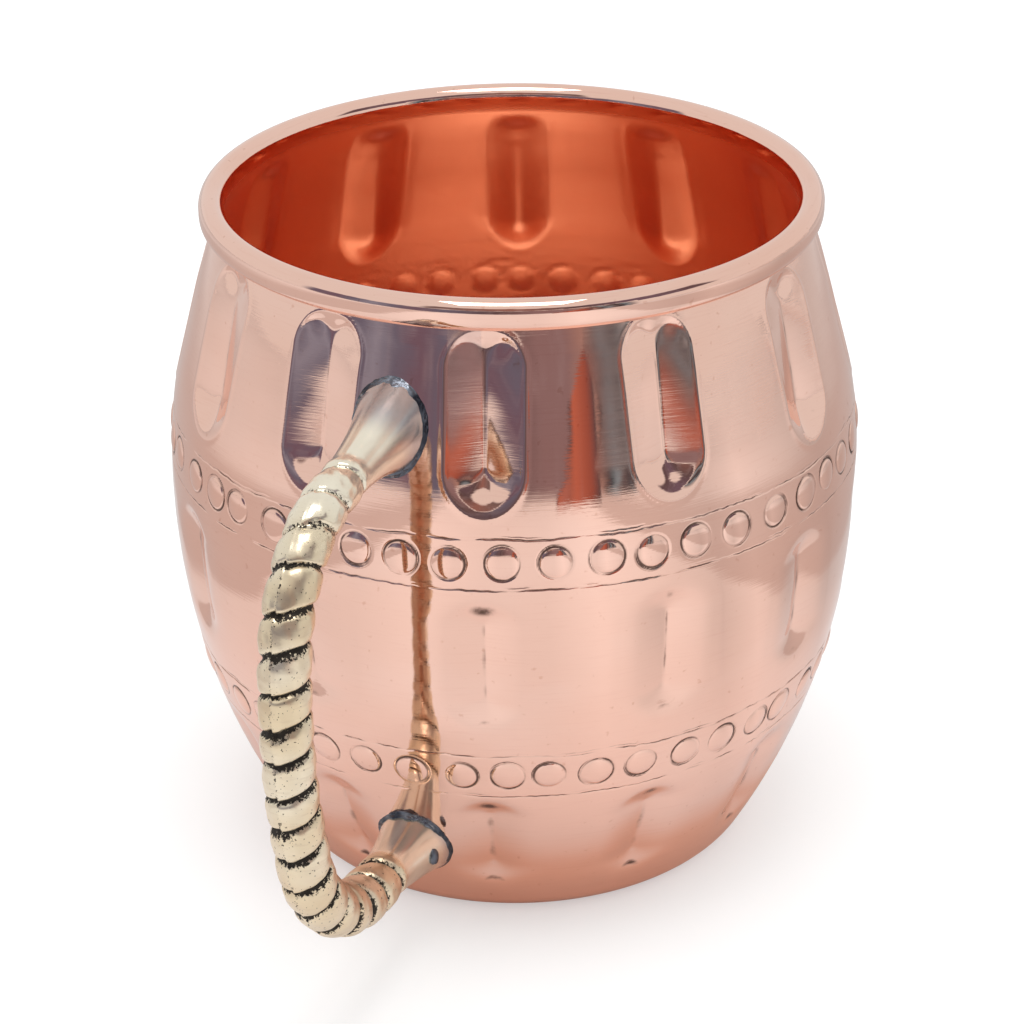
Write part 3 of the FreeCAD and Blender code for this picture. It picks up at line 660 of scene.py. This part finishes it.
def solder_fillet(name):
    """The irregular fillet round a foot: it creeps up the foot and spreads over the wall."""
    count = 240
    around = np.arange(count) * TURN / count
    least, more, width = FILLETS[name]["creep"]
    creep = least + more * bell(wrapped(around), width)
    even, more_at_top = FILLETS[name]["spread"]
    spread = even + more_at_top * np.cos(around)
    seed = FILLETS[name]["seed"]
    uneven = ripple(around, seed, 2, 14)
    rough = ripple(around, seed + 1, 15, 40)
    up_foot = np.clip(creep + 0.22 * uneven + 0.03 * rough, 0.25, None)
    on_wall = np.clip(spread + 0.12 * ripple(around, seed + 2, 2, 9) + 0.03 * rough, 0.15, None)
    tall, wide = foot_size(name, 0.0)
    narrowing = (tall - foot_size(name, 1.5)[0]) / 1.5
    rings = []
    for share in np.linspace(0, 1, 11):
        out = up_foot * (1 - share) ** 2
        grow = on_wall * share**2 - narrowing * out
        lump = 0.05 * np.sin(math.pi * share) * (1 + ripple(around, seed + 4 + int(share * 10), 6, 40))
        rings.append((out + lump, grow + lump))
    # the hidden side, inside the wall and the foot
    rings.append((np.full(count, -0.5), on_wall * 0.8))
    rings.append((np.full(count, -0.5), np.full(count, -1.2)))
    rings.append((up_foot * 0.8, np.full(count, -1.2)))
    arm = ARMS[name]
    points = []
    for out, grow in rings:
        z = arm["height"] + (tall + grow) * np.cos(around) + math.sin(arm["rise"]) * out
        y = -(wide + grow) * np.sin(around)
        x = np.sqrt(np.maximum(wall_radius(z) ** 2 - y**2, 1)) + out
        points.append(np.stack([x, y, z], 1))
    sizes, corners = lathe_faces([count] * len(points), closed=True)
    return make_mesh(name + "_solder_fillet", np.concatenate(points), sizes, corners)


def solder_spot():
    """The small filled vent on the side of the lower foot."""
    columns, rows = 32, 16
    lean = (math.pi * np.arange(1, rows) / rows)[:, None]
    turn = (TURN * np.arange(columns) / columns)[None, :]
    side = np.sin(lean) * (1 + 0.06 * np.sin(3 * turn + 4 * lean))
    up = np.broadcast_to(-np.cos(lean), side.shape)
    lump = np.stack([side * np.cos(turn), side * np.sin(turn), up], 2).reshape(-1, 3)
    shape = np.concatenate([[[0, 0, -1]], lump, [[0, 0, 1]]]) * np.array([0.85, 1.15, 0.5])
    low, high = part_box("vent_plug")
    centre = (low + high) / 2 / MM
    out = foot_size("lower", centre.x - float(wall_radius(centre.z)))[1]
    face = math.atan2(centre.z - ARMS["lower"]["height"], centre.y)
    normal = np.array([0.25, math.cos(face), math.sin(face)])
    normal /= np.linalg.norm(normal)
    along = np.array([1.0, 0.0, 0.0]) - normal * normal[0]
    along /= np.linalg.norm(along)
    upward = np.cross(normal, along)
    place = np.array([centre.x, math.cos(face) * out, ARMS["lower"]["height"] + math.sin(face) * out])
    world = place + shape[:, :1] * along + shape[:, 1:2] * upward + shape[:, 2:] * normal
    sizes, corners = lathe_faces([1] + [columns] * (rows - 1) + [1])
    return make_mesh("vent_solder", world, sizes, corners)


# ---- Node materials ----


def rgba(red, green, blue):
    return (red, green, blue, 1.0)


class Nodes:
    """Short ways to add nodes to one material's tree."""

    def __init__(self, name):
        self.material = bpy.data.materials.new(name)
        self.material.use_nodes = True
        self.tree = self.material.node_tree
        self.shader = self.tree.nodes["Principled BSDF"]

    def add(self, kind, **settings):
        node = self.tree.nodes.new(kind)
        for key, value in settings.items():
            setattr(node, key, value)
        return node

    def link(self, source, target):
        self.tree.links.new(source, target)

    def feed(self, value, socket):
        if hasattr(value, "links"):
            self.link(value, socket)
        else:
            socket.default_value = value

    def axes(self, kind):
        """The X, Y and Z of a texture coordinate."""
        split = self.add("ShaderNodeSeparateXYZ")
        self.link(self.add("ShaderNodeTexCoord").outputs[kind], split.inputs["Vector"])
        return tuple(split.outputs)

    def noise(self, scale, detail=3.0, roughness=0.55, distortion=0.0):
        """Noise with a number of features to the metre along each axis."""
        mapping = self.add("ShaderNodeMapping")
        mapping.inputs["Scale"].default_value = scale
        self.link(self.add("ShaderNodeTexCoord").outputs["Object"], mapping.inputs["Vector"])
        texture = self.add("ShaderNodeTexNoise")
        texture.inputs["Scale"].default_value = 1.0
        texture.inputs["Detail"].default_value = detail
        texture.inputs["Roughness"].default_value = roughness
        texture.inputs["Distortion"].default_value = distortion
        self.link(mapping.outputs["Vector"], texture.inputs["Vector"])
        return texture.outputs["Fac"]

    def span(self, value, low, high, out_low, out_high, course="SMOOTHSTEP"):
        """A value's way from low to high, turned into a way from out_low to out_high."""
        node = self.add("ShaderNodeMapRange", interpolation_type=course)
        self.feed(value, node.inputs["Value"])
        ends = {"From Min": low, "From Max": high, "To Min": out_low, "To Max": out_high}
        for key, number in ends.items():
            self.feed(number, node.inputs[key])
        return node.outputs["Result"]

    def ramp(self, share, stops):
        """A colour for each share from 0 to 1, by stops whose first is at 0 and whose last is at 1."""
        node = self.add("ShaderNodeValToRGB")
        elements = node.color_ramp.elements
        for place, colour in stops[1:-1]:
            elements.new(place).color = colour
        elements[0].color = stops[0][1]
        elements[-1].color = stops[-1][1]
        self.link(share, node.inputs["Fac"])
        return node.outputs["Color"]

    def math(self, operation, first, second=0.0):
        node = self.add("ShaderNodeMath", operation=operation)
        self.feed(first, node.inputs[0])
        self.feed(second, node.inputs[1])
        return node.outputs[0]

    def mix(self, share, first, second):
        node = self.add("ShaderNodeMix", data_type="RGBA")
        self.feed(share, node.inputs[0])
        self.feed(first, node.inputs[6])
        self.feed(second, node.inputs[7])
        return node.outputs[2]

    def attribute(self, name):
        return self.add("ShaderNodeAttribute", attribute_name=name).outputs["Fac"]

    def bump(self, height, strength, distance, normal=None):
        node = self.add("ShaderNodeBump")
        self.feed(strength, node.inputs["Strength"])
        node.inputs["Distance"].default_value = distance
        self.feed(height, node.inputs["Height"])
        if normal is not None:
            self.link(normal, node.inputs["Normal"])
        return node.outputs["Normal"]

    def finish(self, colour, roughness, normal=None, metallic=1.0):
        self.feed(colour, self.shader.inputs["Base Color"])
        self.feed(roughness, self.shader.inputs["Roughness"])
        self.feed(metallic, self.shader.inputs["Metallic"])
        if normal is not None:
            self.link(normal, self.shader.inputs["Normal"])
        return self.material


def copper_material():
    """Mirror-polished copper with fine lines round it, satin inside, with brown residue in the engraving,
    dark painted shade and reflections at the flutes and under the bead, and a deeper orange inside painted
    for bounced light.
    """
    nodes = Nodes("polished_copper")
    lines = nodes.noise((170, 170, 4200), 3.0, 0.6)
    long_lines = nodes.noise((30, 30, 1500), 3.0, 0.6)
    cloud = nodes.noise((38, 38, 60), 3.0, 0.5)
    spots = nodes.noise((1000, 1000, 1000), 2.0, 0.4)
    inside = nodes.attribute("inside")
    plain_tone, pale_tone = rgba(0.925, 0.60, 0.485), rgba(0.94, 0.635, 0.525)
    tone = nodes.mix(nodes.span(cloud, 0.35, 0.65, 0, 1), plain_tone, pale_tone)
    tone = nodes.mix(nodes.span(lines, 0.5, 0.75, 0, 0.18), tone, rgba(0.80, 0.45, 0.36))
    tone = nodes.mix(nodes.span(spots, 0.68, 0.8, 0, 0.35), tone, rgba(0.62, 0.30, 0.20))
    # the inside's deeper, redder orange is painted bounce light, standing in for light bounced round the
    # inside
    inner_tone_with_painted_bounce = nodes.mix(cloud, rgba(0.94, 0.51, 0.345), rgba(0.975, 0.58, 0.42))
    tone = nodes.mix(inside, tone, inner_tone_with_painted_bounce)
    brush = nodes.attribute("brush")
    tone = nodes.mix(nodes.span(brush, 0.72, 0.9, 0, 0.35), tone, rgba(0.68, 0.50, 0.48))
    patchy = nodes.span(nodes.noise((500, 500, 500), 3.0), 0.3, 0.6, 0.7, 1.25)
    # this darkens the residue in the engraving and the painted shade and reflections at the flutes and under
    # the bead
    stain_and_shade = nodes.math("MULTIPLY", nodes.attribute("dirt_and_shade"), patchy)
    tone = nodes.mix(nodes.span(stain_and_shade, 0.15, 0.85, 0, 0.9), tone, rgba(0.075, 0.04, 0.03))
    shine = nodes.span(long_lines, 0.35, 0.75, 0.02, 0.06)
    satin = nodes.span(nodes.axes("Object")[2], 0.002, 0.012, 0.40, 0.26)
    shine = nodes.math("ADD", shine, nodes.math("MULTIPLY", inside, satin))
    shine = nodes.math("ADD", shine, nodes.span(stain_and_shade, 0.1, 0.9, 0.0, 0.35))
    shine = nodes.math("ADD", shine, nodes.span(brush, 0.3, 1.0, 0.0, 0.2))
    scratch = nodes.math("ADD", nodes.span(inside, 0, 1, 0.16, 0.05), nodes.math("MULTIPLY", brush, 0.2))
    normal = nodes.bump(lines, scratch, 0.00003)
    normal = nodes.bump(long_lines, nodes.span(inside, 0, 1, 0.22, 0.0), 0.00002, normal)
    normal = nodes.bump(nodes.noise((120, 120, 120), 2.0), 0.06, 0.0001, normal)
    return nodes.finish(tone, shine, normal)


def wire_material():
    """Drawn copper wire, duller than the cup."""
    nodes = Nodes("drawn_copper_wire")
    grain = nodes.noise((60, 60, 3000), 3.0)
    tone = nodes.mix(grain, rgba(0.80, 0.42, 0.30), rgba(0.92, 0.56, 0.44))
    return nodes.finish(tone, nodes.span(grain, 0.3, 0.7, 0.25, 0.42), nodes.bump(grain, 0.2, 0.00003))


def brass_material():
    """Pale cast brass: polished feet with grey ends, and a satin twist with pinholes and black grooves."""
    nodes = Nodes("pale_cast_brass")
    grain = nodes.noise((200, 200, 1700), 4.0, 0.6)
    cast = nodes.noise((2600, 2600, 2600), 4.0, 0.65)
    cloud = nodes.noise((120, 120, 120), 2.0)
    pores = nodes.noise((2900, 2900, 2900), 1.0, 0.5)
    twist = nodes.attribute("twist")
    tone = nodes.mix(nodes.span(cloud, 0.3, 0.7, 0, 1), rgba(0.80, 0.66, 0.45), rgba(0.88, 0.78, 0.60))
    tone = nodes.mix(nodes.span(grain, 0.5, 0.75, 0, 0.3), tone, rgba(0.55, 0.42, 0.28))
    tone = nodes.mix(nodes.span(twist, 0.0, 0.5, 0.7, 0.0), tone, rgba(0.93, 0.90, 0.78))
    # the side that faces the cup is painted darker and browner
    cup_side_darkening = nodes.math("MULTIPLY", nodes.attribute("back"), 0.75)
    tone = nodes.mix(cup_side_darkening, tone, rgba(0.42, 0.22, 0.13))
    greyed = nodes.math("MULTIPLY", nodes.attribute("grey_end"), 0.62)
    tone = nodes.mix(greyed, tone, rgba(0.30, 0.33, 0.42))
    pinholes = nodes.math("MULTIPLY", nodes.span(pores, 0.70, 0.73, 0, 0.85), twist)
    tone = nodes.mix(pinholes, tone, rgba(0.06, 0.045, 0.03))
    ragged = nodes.math("MULTIPLY", nodes.math("SUBTRACT", cast, 0.5), 2.3)
    stain_and_shade = nodes.span(nodes.math("ADD", nodes.attribute("dirt_and_shade"), ragged), 0.5, 0.62, 0, 1)
    tone = nodes.mix(nodes.math("MULTIPLY", stain_and_shade, 0.97), tone, rgba(0.03, 0.026, 0.024))
    shine = nodes.span(twist, 0, 1, 0.17, 0.30)
    shine = nodes.math("ADD", shine, nodes.span(cast, 0.3, 0.75, 0.0, 0.06))
    shine = nodes.math("ADD", shine, nodes.math("MULTIPLY", stain_and_shade, 0.3))
    normal = nodes.bump(grain, 0.16, 0.00005)
    normal = nodes.bump(cast, nodes.span(twist, 0, 1, 0.03, 0.25), 0.00008, normal)
    return nodes.finish(tone, shine, normal, nodes.span(twist, 0, 0.6, 0.83, 0.95))


def solder_material():
    """Dark grey-blue solder, lumpy, with bright glints painted on the tops of its lumps."""
    nodes = Nodes("grey_solder")
    lumps = nodes.noise((500, 500, 500), 4.0, 0.6)
    cloud = nodes.noise((260, 260, 260), 3.0)
    tone = nodes.mix(nodes.span(cloud, 0.35, 0.65, 0, 1), rgba(0.05, 0.055, 0.07), rgba(0.22, 0.24, 0.28))
    # pale patches on the tops of the lumps are painted glints
    tone = nodes.mix(nodes.span(lumps, 0.6, 0.75, 0, 0.7), tone, rgba(0.72, 0.70, 0.70))
    shine = nodes.span(lumps, 0.3, 0.7, 0.4, 0.18)
    return nodes.finish(tone, shine, nodes.bump(lumps, 0.6, 0.00018))


# ---- Studio ----

CAMERA_TURN = math.radians(20.8)
CAMERA_AWAY = 396.6
CAMERA_HEIGHT = 244.9
CAMERA_TARGET = 45.4
CAMERA_ROLL = -0.012
CAMERA_YAW = 0.001
CAMERA_LENS = 110.4


# The floor's brightness as the metal shows it, at angles from the camera's side, in degrees.
FLOOR_TONES = (
    (-125, 0.55), (-90, 0.66), (-45, 0.69), (-27, 0.79), (-9, 0.71), (9, 0.71), (23, 0.82),
    (41, 0.72), (59, 0.57), (72, 0.73), (89, 0.58), (108, 0.42), (128, 0.50),
)
FLOOR_TONE_BEHIND = 0.60


def floor_as_mirrored(nodes):
    """The floor as the metal shows it: uneven round the cup, darker beside it, with painted light close to
    it: a paler ring, and at its foot the warm colour of light bounced off the copper.
    """
    x, y = nodes.axes("Object")[:2]
    turned = nodes.math("SUBTRACT", nodes.math("ARCTAN2", y, x), CAMERA_TURN)
    from_camera = nodes.math("WRAP", turned, math.pi)
    from_camera.node.inputs[2].default_value = -math.pi
    behind = rgba(FLOOR_TONE_BEHIND, FLOOR_TONE_BEHIND, FLOOR_TONE_BEHIND)
    stops = [((turn + 180) / 360, rgba(level, level * 0.99, level)) for turn, level in FLOOR_TONES]
    turn_share = nodes.span(from_camera, -math.pi, math.pi, 0, 1, "LINEAR")
    tone = nodes.ramp(turn_share, [(0.0, behind)] + stops + [(1.0, behind)])
    squares = nodes.math("ADD", nodes.math("POWER", x, 2.0), nodes.math("POWER", y, 2.0))
    away = nodes.math("SQRT", squares)
    right = nodes.math("ABSOLUTE", nodes.math("MULTIPLY", away, nodes.math("SINE", from_camera)))
    toward = nodes.math("MULTIPLY", away, nodes.math("COSINE", from_camera))
    beside = nodes.math("SUBTRACT", right, nodes.math("MULTIPLY", toward, 0.3))
    fade = nodes.span(beside, 0.24, 0.36, 1, 0)
    shade = nodes.math("MULTIPLY", nodes.span(beside, 0.107, 0.117, 0, 0.6), fade)
    tone = nodes.mix(shade, tone, rgba(0.40, 0.33, 0.31))
    # close to the cup, painted light: a paler ring, and at the cup's foot a warm tone for light bounced off
    # the copper
    tone = nodes.mix(nodes.span(away, 0.045, 0.12, 0.8, 0), tone, rgba(0.80, 0.76, 0.76))
    return nodes.mix(nodes.span(away, 0.038, 0.046, 0.75, 0), tone, rgba(0.80, 0.54, 0.42))


def floor_material():
    """White to the camera, with a little light of its own to soften the shadow, and toned in the metal."""
    nodes = Nodes("white_floor")
    ray = nodes.add("ShaderNodeLightPath")
    seen = nodes.mix(nodes.noise((30, 30, 30), 2.0), rgba(0.58, 0.58, 0.58), rgba(0.60, 0.60, 0.60))
    nodes.shader.inputs["Emission Color"].default_value = rgba(1.0, 1.0, 1.0)
    glow = nodes.math("MULTIPLY", ray.outputs["Is Camera Ray"], 0.42)
    nodes.feed(glow, nodes.shader.inputs["Emission Strength"])
    tone = nodes.mix(ray.outputs["Is Glossy Ray"], seen, floor_as_mirrored(nodes))
    return nodes.finish(tone, 0.9, metallic=0.0)


def add_floor():
    """A square floor, a tenth of a millimetre under the mug."""
    size, level = 6.0, -0.0001
    mesh = bpy.data.meshes.new("floor")
    corners = [(x * size, y * size, level) for x, y in ((-1, -1), (1, -1), (1, 1), (-1, 1))]
    mesh.from_pydata(corners, [], [(0, 1, 2, 3)])
    floor = add_object("floor", mesh)
    floor.data.materials.append(floor_material())


def set_world():
    """An even white surround, a little dimmer in the metal than as a source of light."""
    world = bpy.data.worlds.new("white_studio")
    bpy.context.scene.world = world
    world.use_nodes = True
    tree = world.node_tree
    background = tree.nodes["Background"]
    ray = tree.nodes.new("ShaderNodeLightPath")
    strength = tree.nodes.new("ShaderNodeMapRange")
    strength.inputs["To Min"].default_value = 1.05
    strength.inputs["To Max"].default_value = 0.80
    tree.links.new(ray.outputs["Is Glossy Ray"], strength.inputs["Value"])
    tree.links.new(strength.outputs["Result"], background.inputs["Strength"])
    background.inputs["Color"].default_value = rgba(1.0, 1.0, 1.0)


def card_material(name, stops, border, ragged, top=0.0):
    """A glowing card: colours run along it and fade to the border's, raggedly below and, by top, above."""
    nodes = Nodes(name)
    along, up = nodes.axes("UV")[:2]
    wobble = nodes.math("SUBTRACT", nodes.noise((3.0, 3.0, 9.0), 4.0, 0.6), 0.5)
    tones = nodes.ramp(nodes.math("ADD", along, nodes.math("MULTIPLY", wobble, 0.12)), stops)
    from_low = nodes.math("ADD", up, nodes.math("MULTIPLY", wobble, ragged))
    from_top = nodes.math("ADD", up, nodes.math("MULTIPLY", wobble, top))
    sides = nodes.math("MULTIPLY", nodes.span(along, 0.0, 0.05, 0, 1), nodes.span(along, 0.95, 1.0, 1, 0))
    lower_fade, upper_fade = nodes.span(from_low, 0.06, 0.22, 0, 1), nodes.span(from_top, 0.88, 1.0, 1, 0)
    ends = nodes.math("MULTIPLY", lower_fade, upper_fade)
    cloud = nodes.span(nodes.noise((7.0, 7.0, 3.0), 3.0, 0.6, 1.2), 0.45, 0.7, 0.0, 0.2)
    tones = nodes.mix(cloud, tones, rgba(0.45, 0.44, 0.50))
    emission = nodes.add("ShaderNodeEmission")
    nodes.link(nodes.mix(nodes.math("MULTIPLY", ends, sides), border, tones), emission.inputs["Color"])
    output = nodes.tree.nodes["Material Output"]
    nodes.link(emission.outputs["Emission"], output.inputs["Surface"])
    return nodes.material


CARD_LEVEL = 0.07


def add_card(name, away, first, last, low, high, material):
    """A curved card that only shows in the metal, between two angles from the camera's side.

    low and high are the elevations of its lower and upper edge, each at the first and at the last angle. All
    angles are in degrees, and the elevations are seen from the axis of the mug at CARD_LEVEL.
    """
    steps, rows = 48, 12
    points, faces, places = [], [], []
    for row in range(rows + 1):
        for step in range(steps + 1):
            turn = CAMERA_TURN + math.radians(first + (last - first) * step / steps)
            edge = low[0] + (low[1] - low[0]) * step / steps
            crown = high[0] + (high[1] - high[0]) * step / steps
            lift = math.tan(math.radians(edge + (crown - edge) * row / rows))
            points.append((away * math.cos(turn), away * math.sin(turn), CARD_LEVEL + away * lift))
            places.append((step / steps, row / rows))
    for row in range(rows):
        for step in range(steps):
            corner = row * (steps + 1) + step
            faces.append((corner, corner + 1, corner + steps + 2, corner + steps + 1))
    mesh = bpy.data.meshes.new(name)
    mesh.from_pydata(points, [], faces)
    layer = mesh.uv_layers.new(name="across")
    for loop in mesh.loops:
        layer.data[loop.index].uv = places[loop.vertex_index]
    card = add_object(name, mesh)
    card.data.materials.append(material)
    card.visible_camera = False
    card.visible_diffuse = False
    card.visible_shadow = False
    card.visible_transmission = False


def add_cards():
    """The dark and coloured things that the mug mirrors: ahead of it, above it and beside it."""
    purple, blue, haze = rgba(0.17, 0.13, 0.19), rgba(0.15, 0.165, 0.25), rgba(0.27, 0.31, 0.42)
    brown, tan, mauve = rgba(0.30, 0.17, 0.15), rgba(0.40, 0.27, 0.24), rgba(0.27, 0.20, 0.22)
    grey, pale, white = rgba(0.17, 0.15, 0.16), rgba(0.26, 0.38, 0.46), rgba(0.8, 0.8, 0.8)
    black, dim, dusk = rgba(0.03, 0.03, 0.04), rgba(0.12, 0.09, 0.10), rgba(0.70, 0.63, 0.61)
    rust, dull_rust, deep_rust = rgba(0.52, 0.17, 0.11), rgba(0.40, 0.15, 0.11), rgba(0.34, 0.11, 0.08)
    ahead = [
        (0.0, blue), (0.12, purple), (0.17, blue), (0.235, haze), (0.3, blue), (0.36, purple), (0.44, blue),
        (0.6, dim), (0.7, mauve), (0.78, mauve), (0.86, tan), (0.88, black), (0.9, pale), (0.915, grey),
        (0.94, black), (0.96, pale), (0.975, black), (1.0, grey),
    ]
    ahead_material = card_material("camera_side_tones", ahead, white, 0.22)
    add_card("camera_side_card", 1.1, -78, 45, (-4.8, -8.4), (25, 25), ahead_material)
    strip_tones = [(0.0, rust), (0.3, dull_rust), (0.45, rust), (0.8, deep_rust), (1.0, dim)]
    rust_material = card_material("rust_tones", strip_tones, dim, 0.4, 0.9)
    add_card("rust_card", 0.9, 13, 27, (-8, -7), (-2, 18), rust_material)
    above = [(0.0, grey), (0.3, brown), (0.5, dim), (0.7, purple), (1.0, dim)]
    above_material = card_material("upper_tones", above, white, 0.1, 0.2)
    add_card("upper_card", 1.2, -36, 80, (18, 17), (43, 43), above_material)
    beside_material = card_material("right_tones", [(0.0, dusk), (1.0, dusk)], white, 0.1)
    add_card("right_card", 1.0, 84, 128, (-26, -26), (-1, -1), beside_material)


def add_light():
    """One soft lamp overhead, aimed at the middle of the mug."""
    light = bpy.data.lights.new("soft_top", "AREA")
    light.size = 0.7
    light.energy = 7
    lamp = add_object("soft_top", light)
    lamp.location = (0.22, 0.08, 1.6)
    aim = Vector((0, 0, 0.05)) - Vector(lamp.location)
    lamp.rotation_euler = aim.to_track_quat("-Z", "Y").to_euler()


def add_camera():
    camera = add_object("camera", bpy.data.cameras.new("camera"))
    x, y = math.cos(CAMERA_TURN) * CAMERA_AWAY, math.sin(CAMERA_TURN) * CAMERA_AWAY
    place = Vector((x, y, CAMERA_HEIGHT)) * MM
    look = Vector((0, 0, CAMERA_TARGET * MM)) - place
    aim = look.to_track_quat("-Z", "Y").to_matrix().to_4x4()
    spin = Matrix.Rotation(CAMERA_YAW, 4, "Y") @ Matrix.Rotation(CAMERA_ROLL, 4, "Z")
    camera.matrix_world = Matrix.Translation(place) @ aim @ spin
    camera.data.lens = CAMERA_LENS
    camera.data.sensor_width = 36.0
    camera.data.clip_start = 0.01
    bpy.context.scene.camera = camera


# ---- Assembly ----


def dress(piece, material, node=None):
    """Gives a piece its material and, if it stands for a CAD node, its place in the part, and hides that
    node.
    """
    piece.data.materials.clear()
    piece.data.materials.append(material)
    if node is not None:
        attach(piece, "root")
        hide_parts(node)


solder = solder_material()
dress(copper_body(), copper_material(), "body_shell")
dress(handle_casting(), brass_material(), "handle")
dress(solder_fillet("upper"), solder, "upper_solder")
dress(solder_fillet("lower"), solder, "lower_solder")
dress(solder_spot(), solder, "vent_plug")
dress(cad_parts["rim_wire"], wire_material())
add_floor()
set_world()
add_cards()
add_light()
add_camera()
bpy.context.scene.view_settings.view_transform = "Standard"
bpy.context.scene.cycles.max_bounces = 20
bpy.context.scene.cycles.glossy_bounces = 18
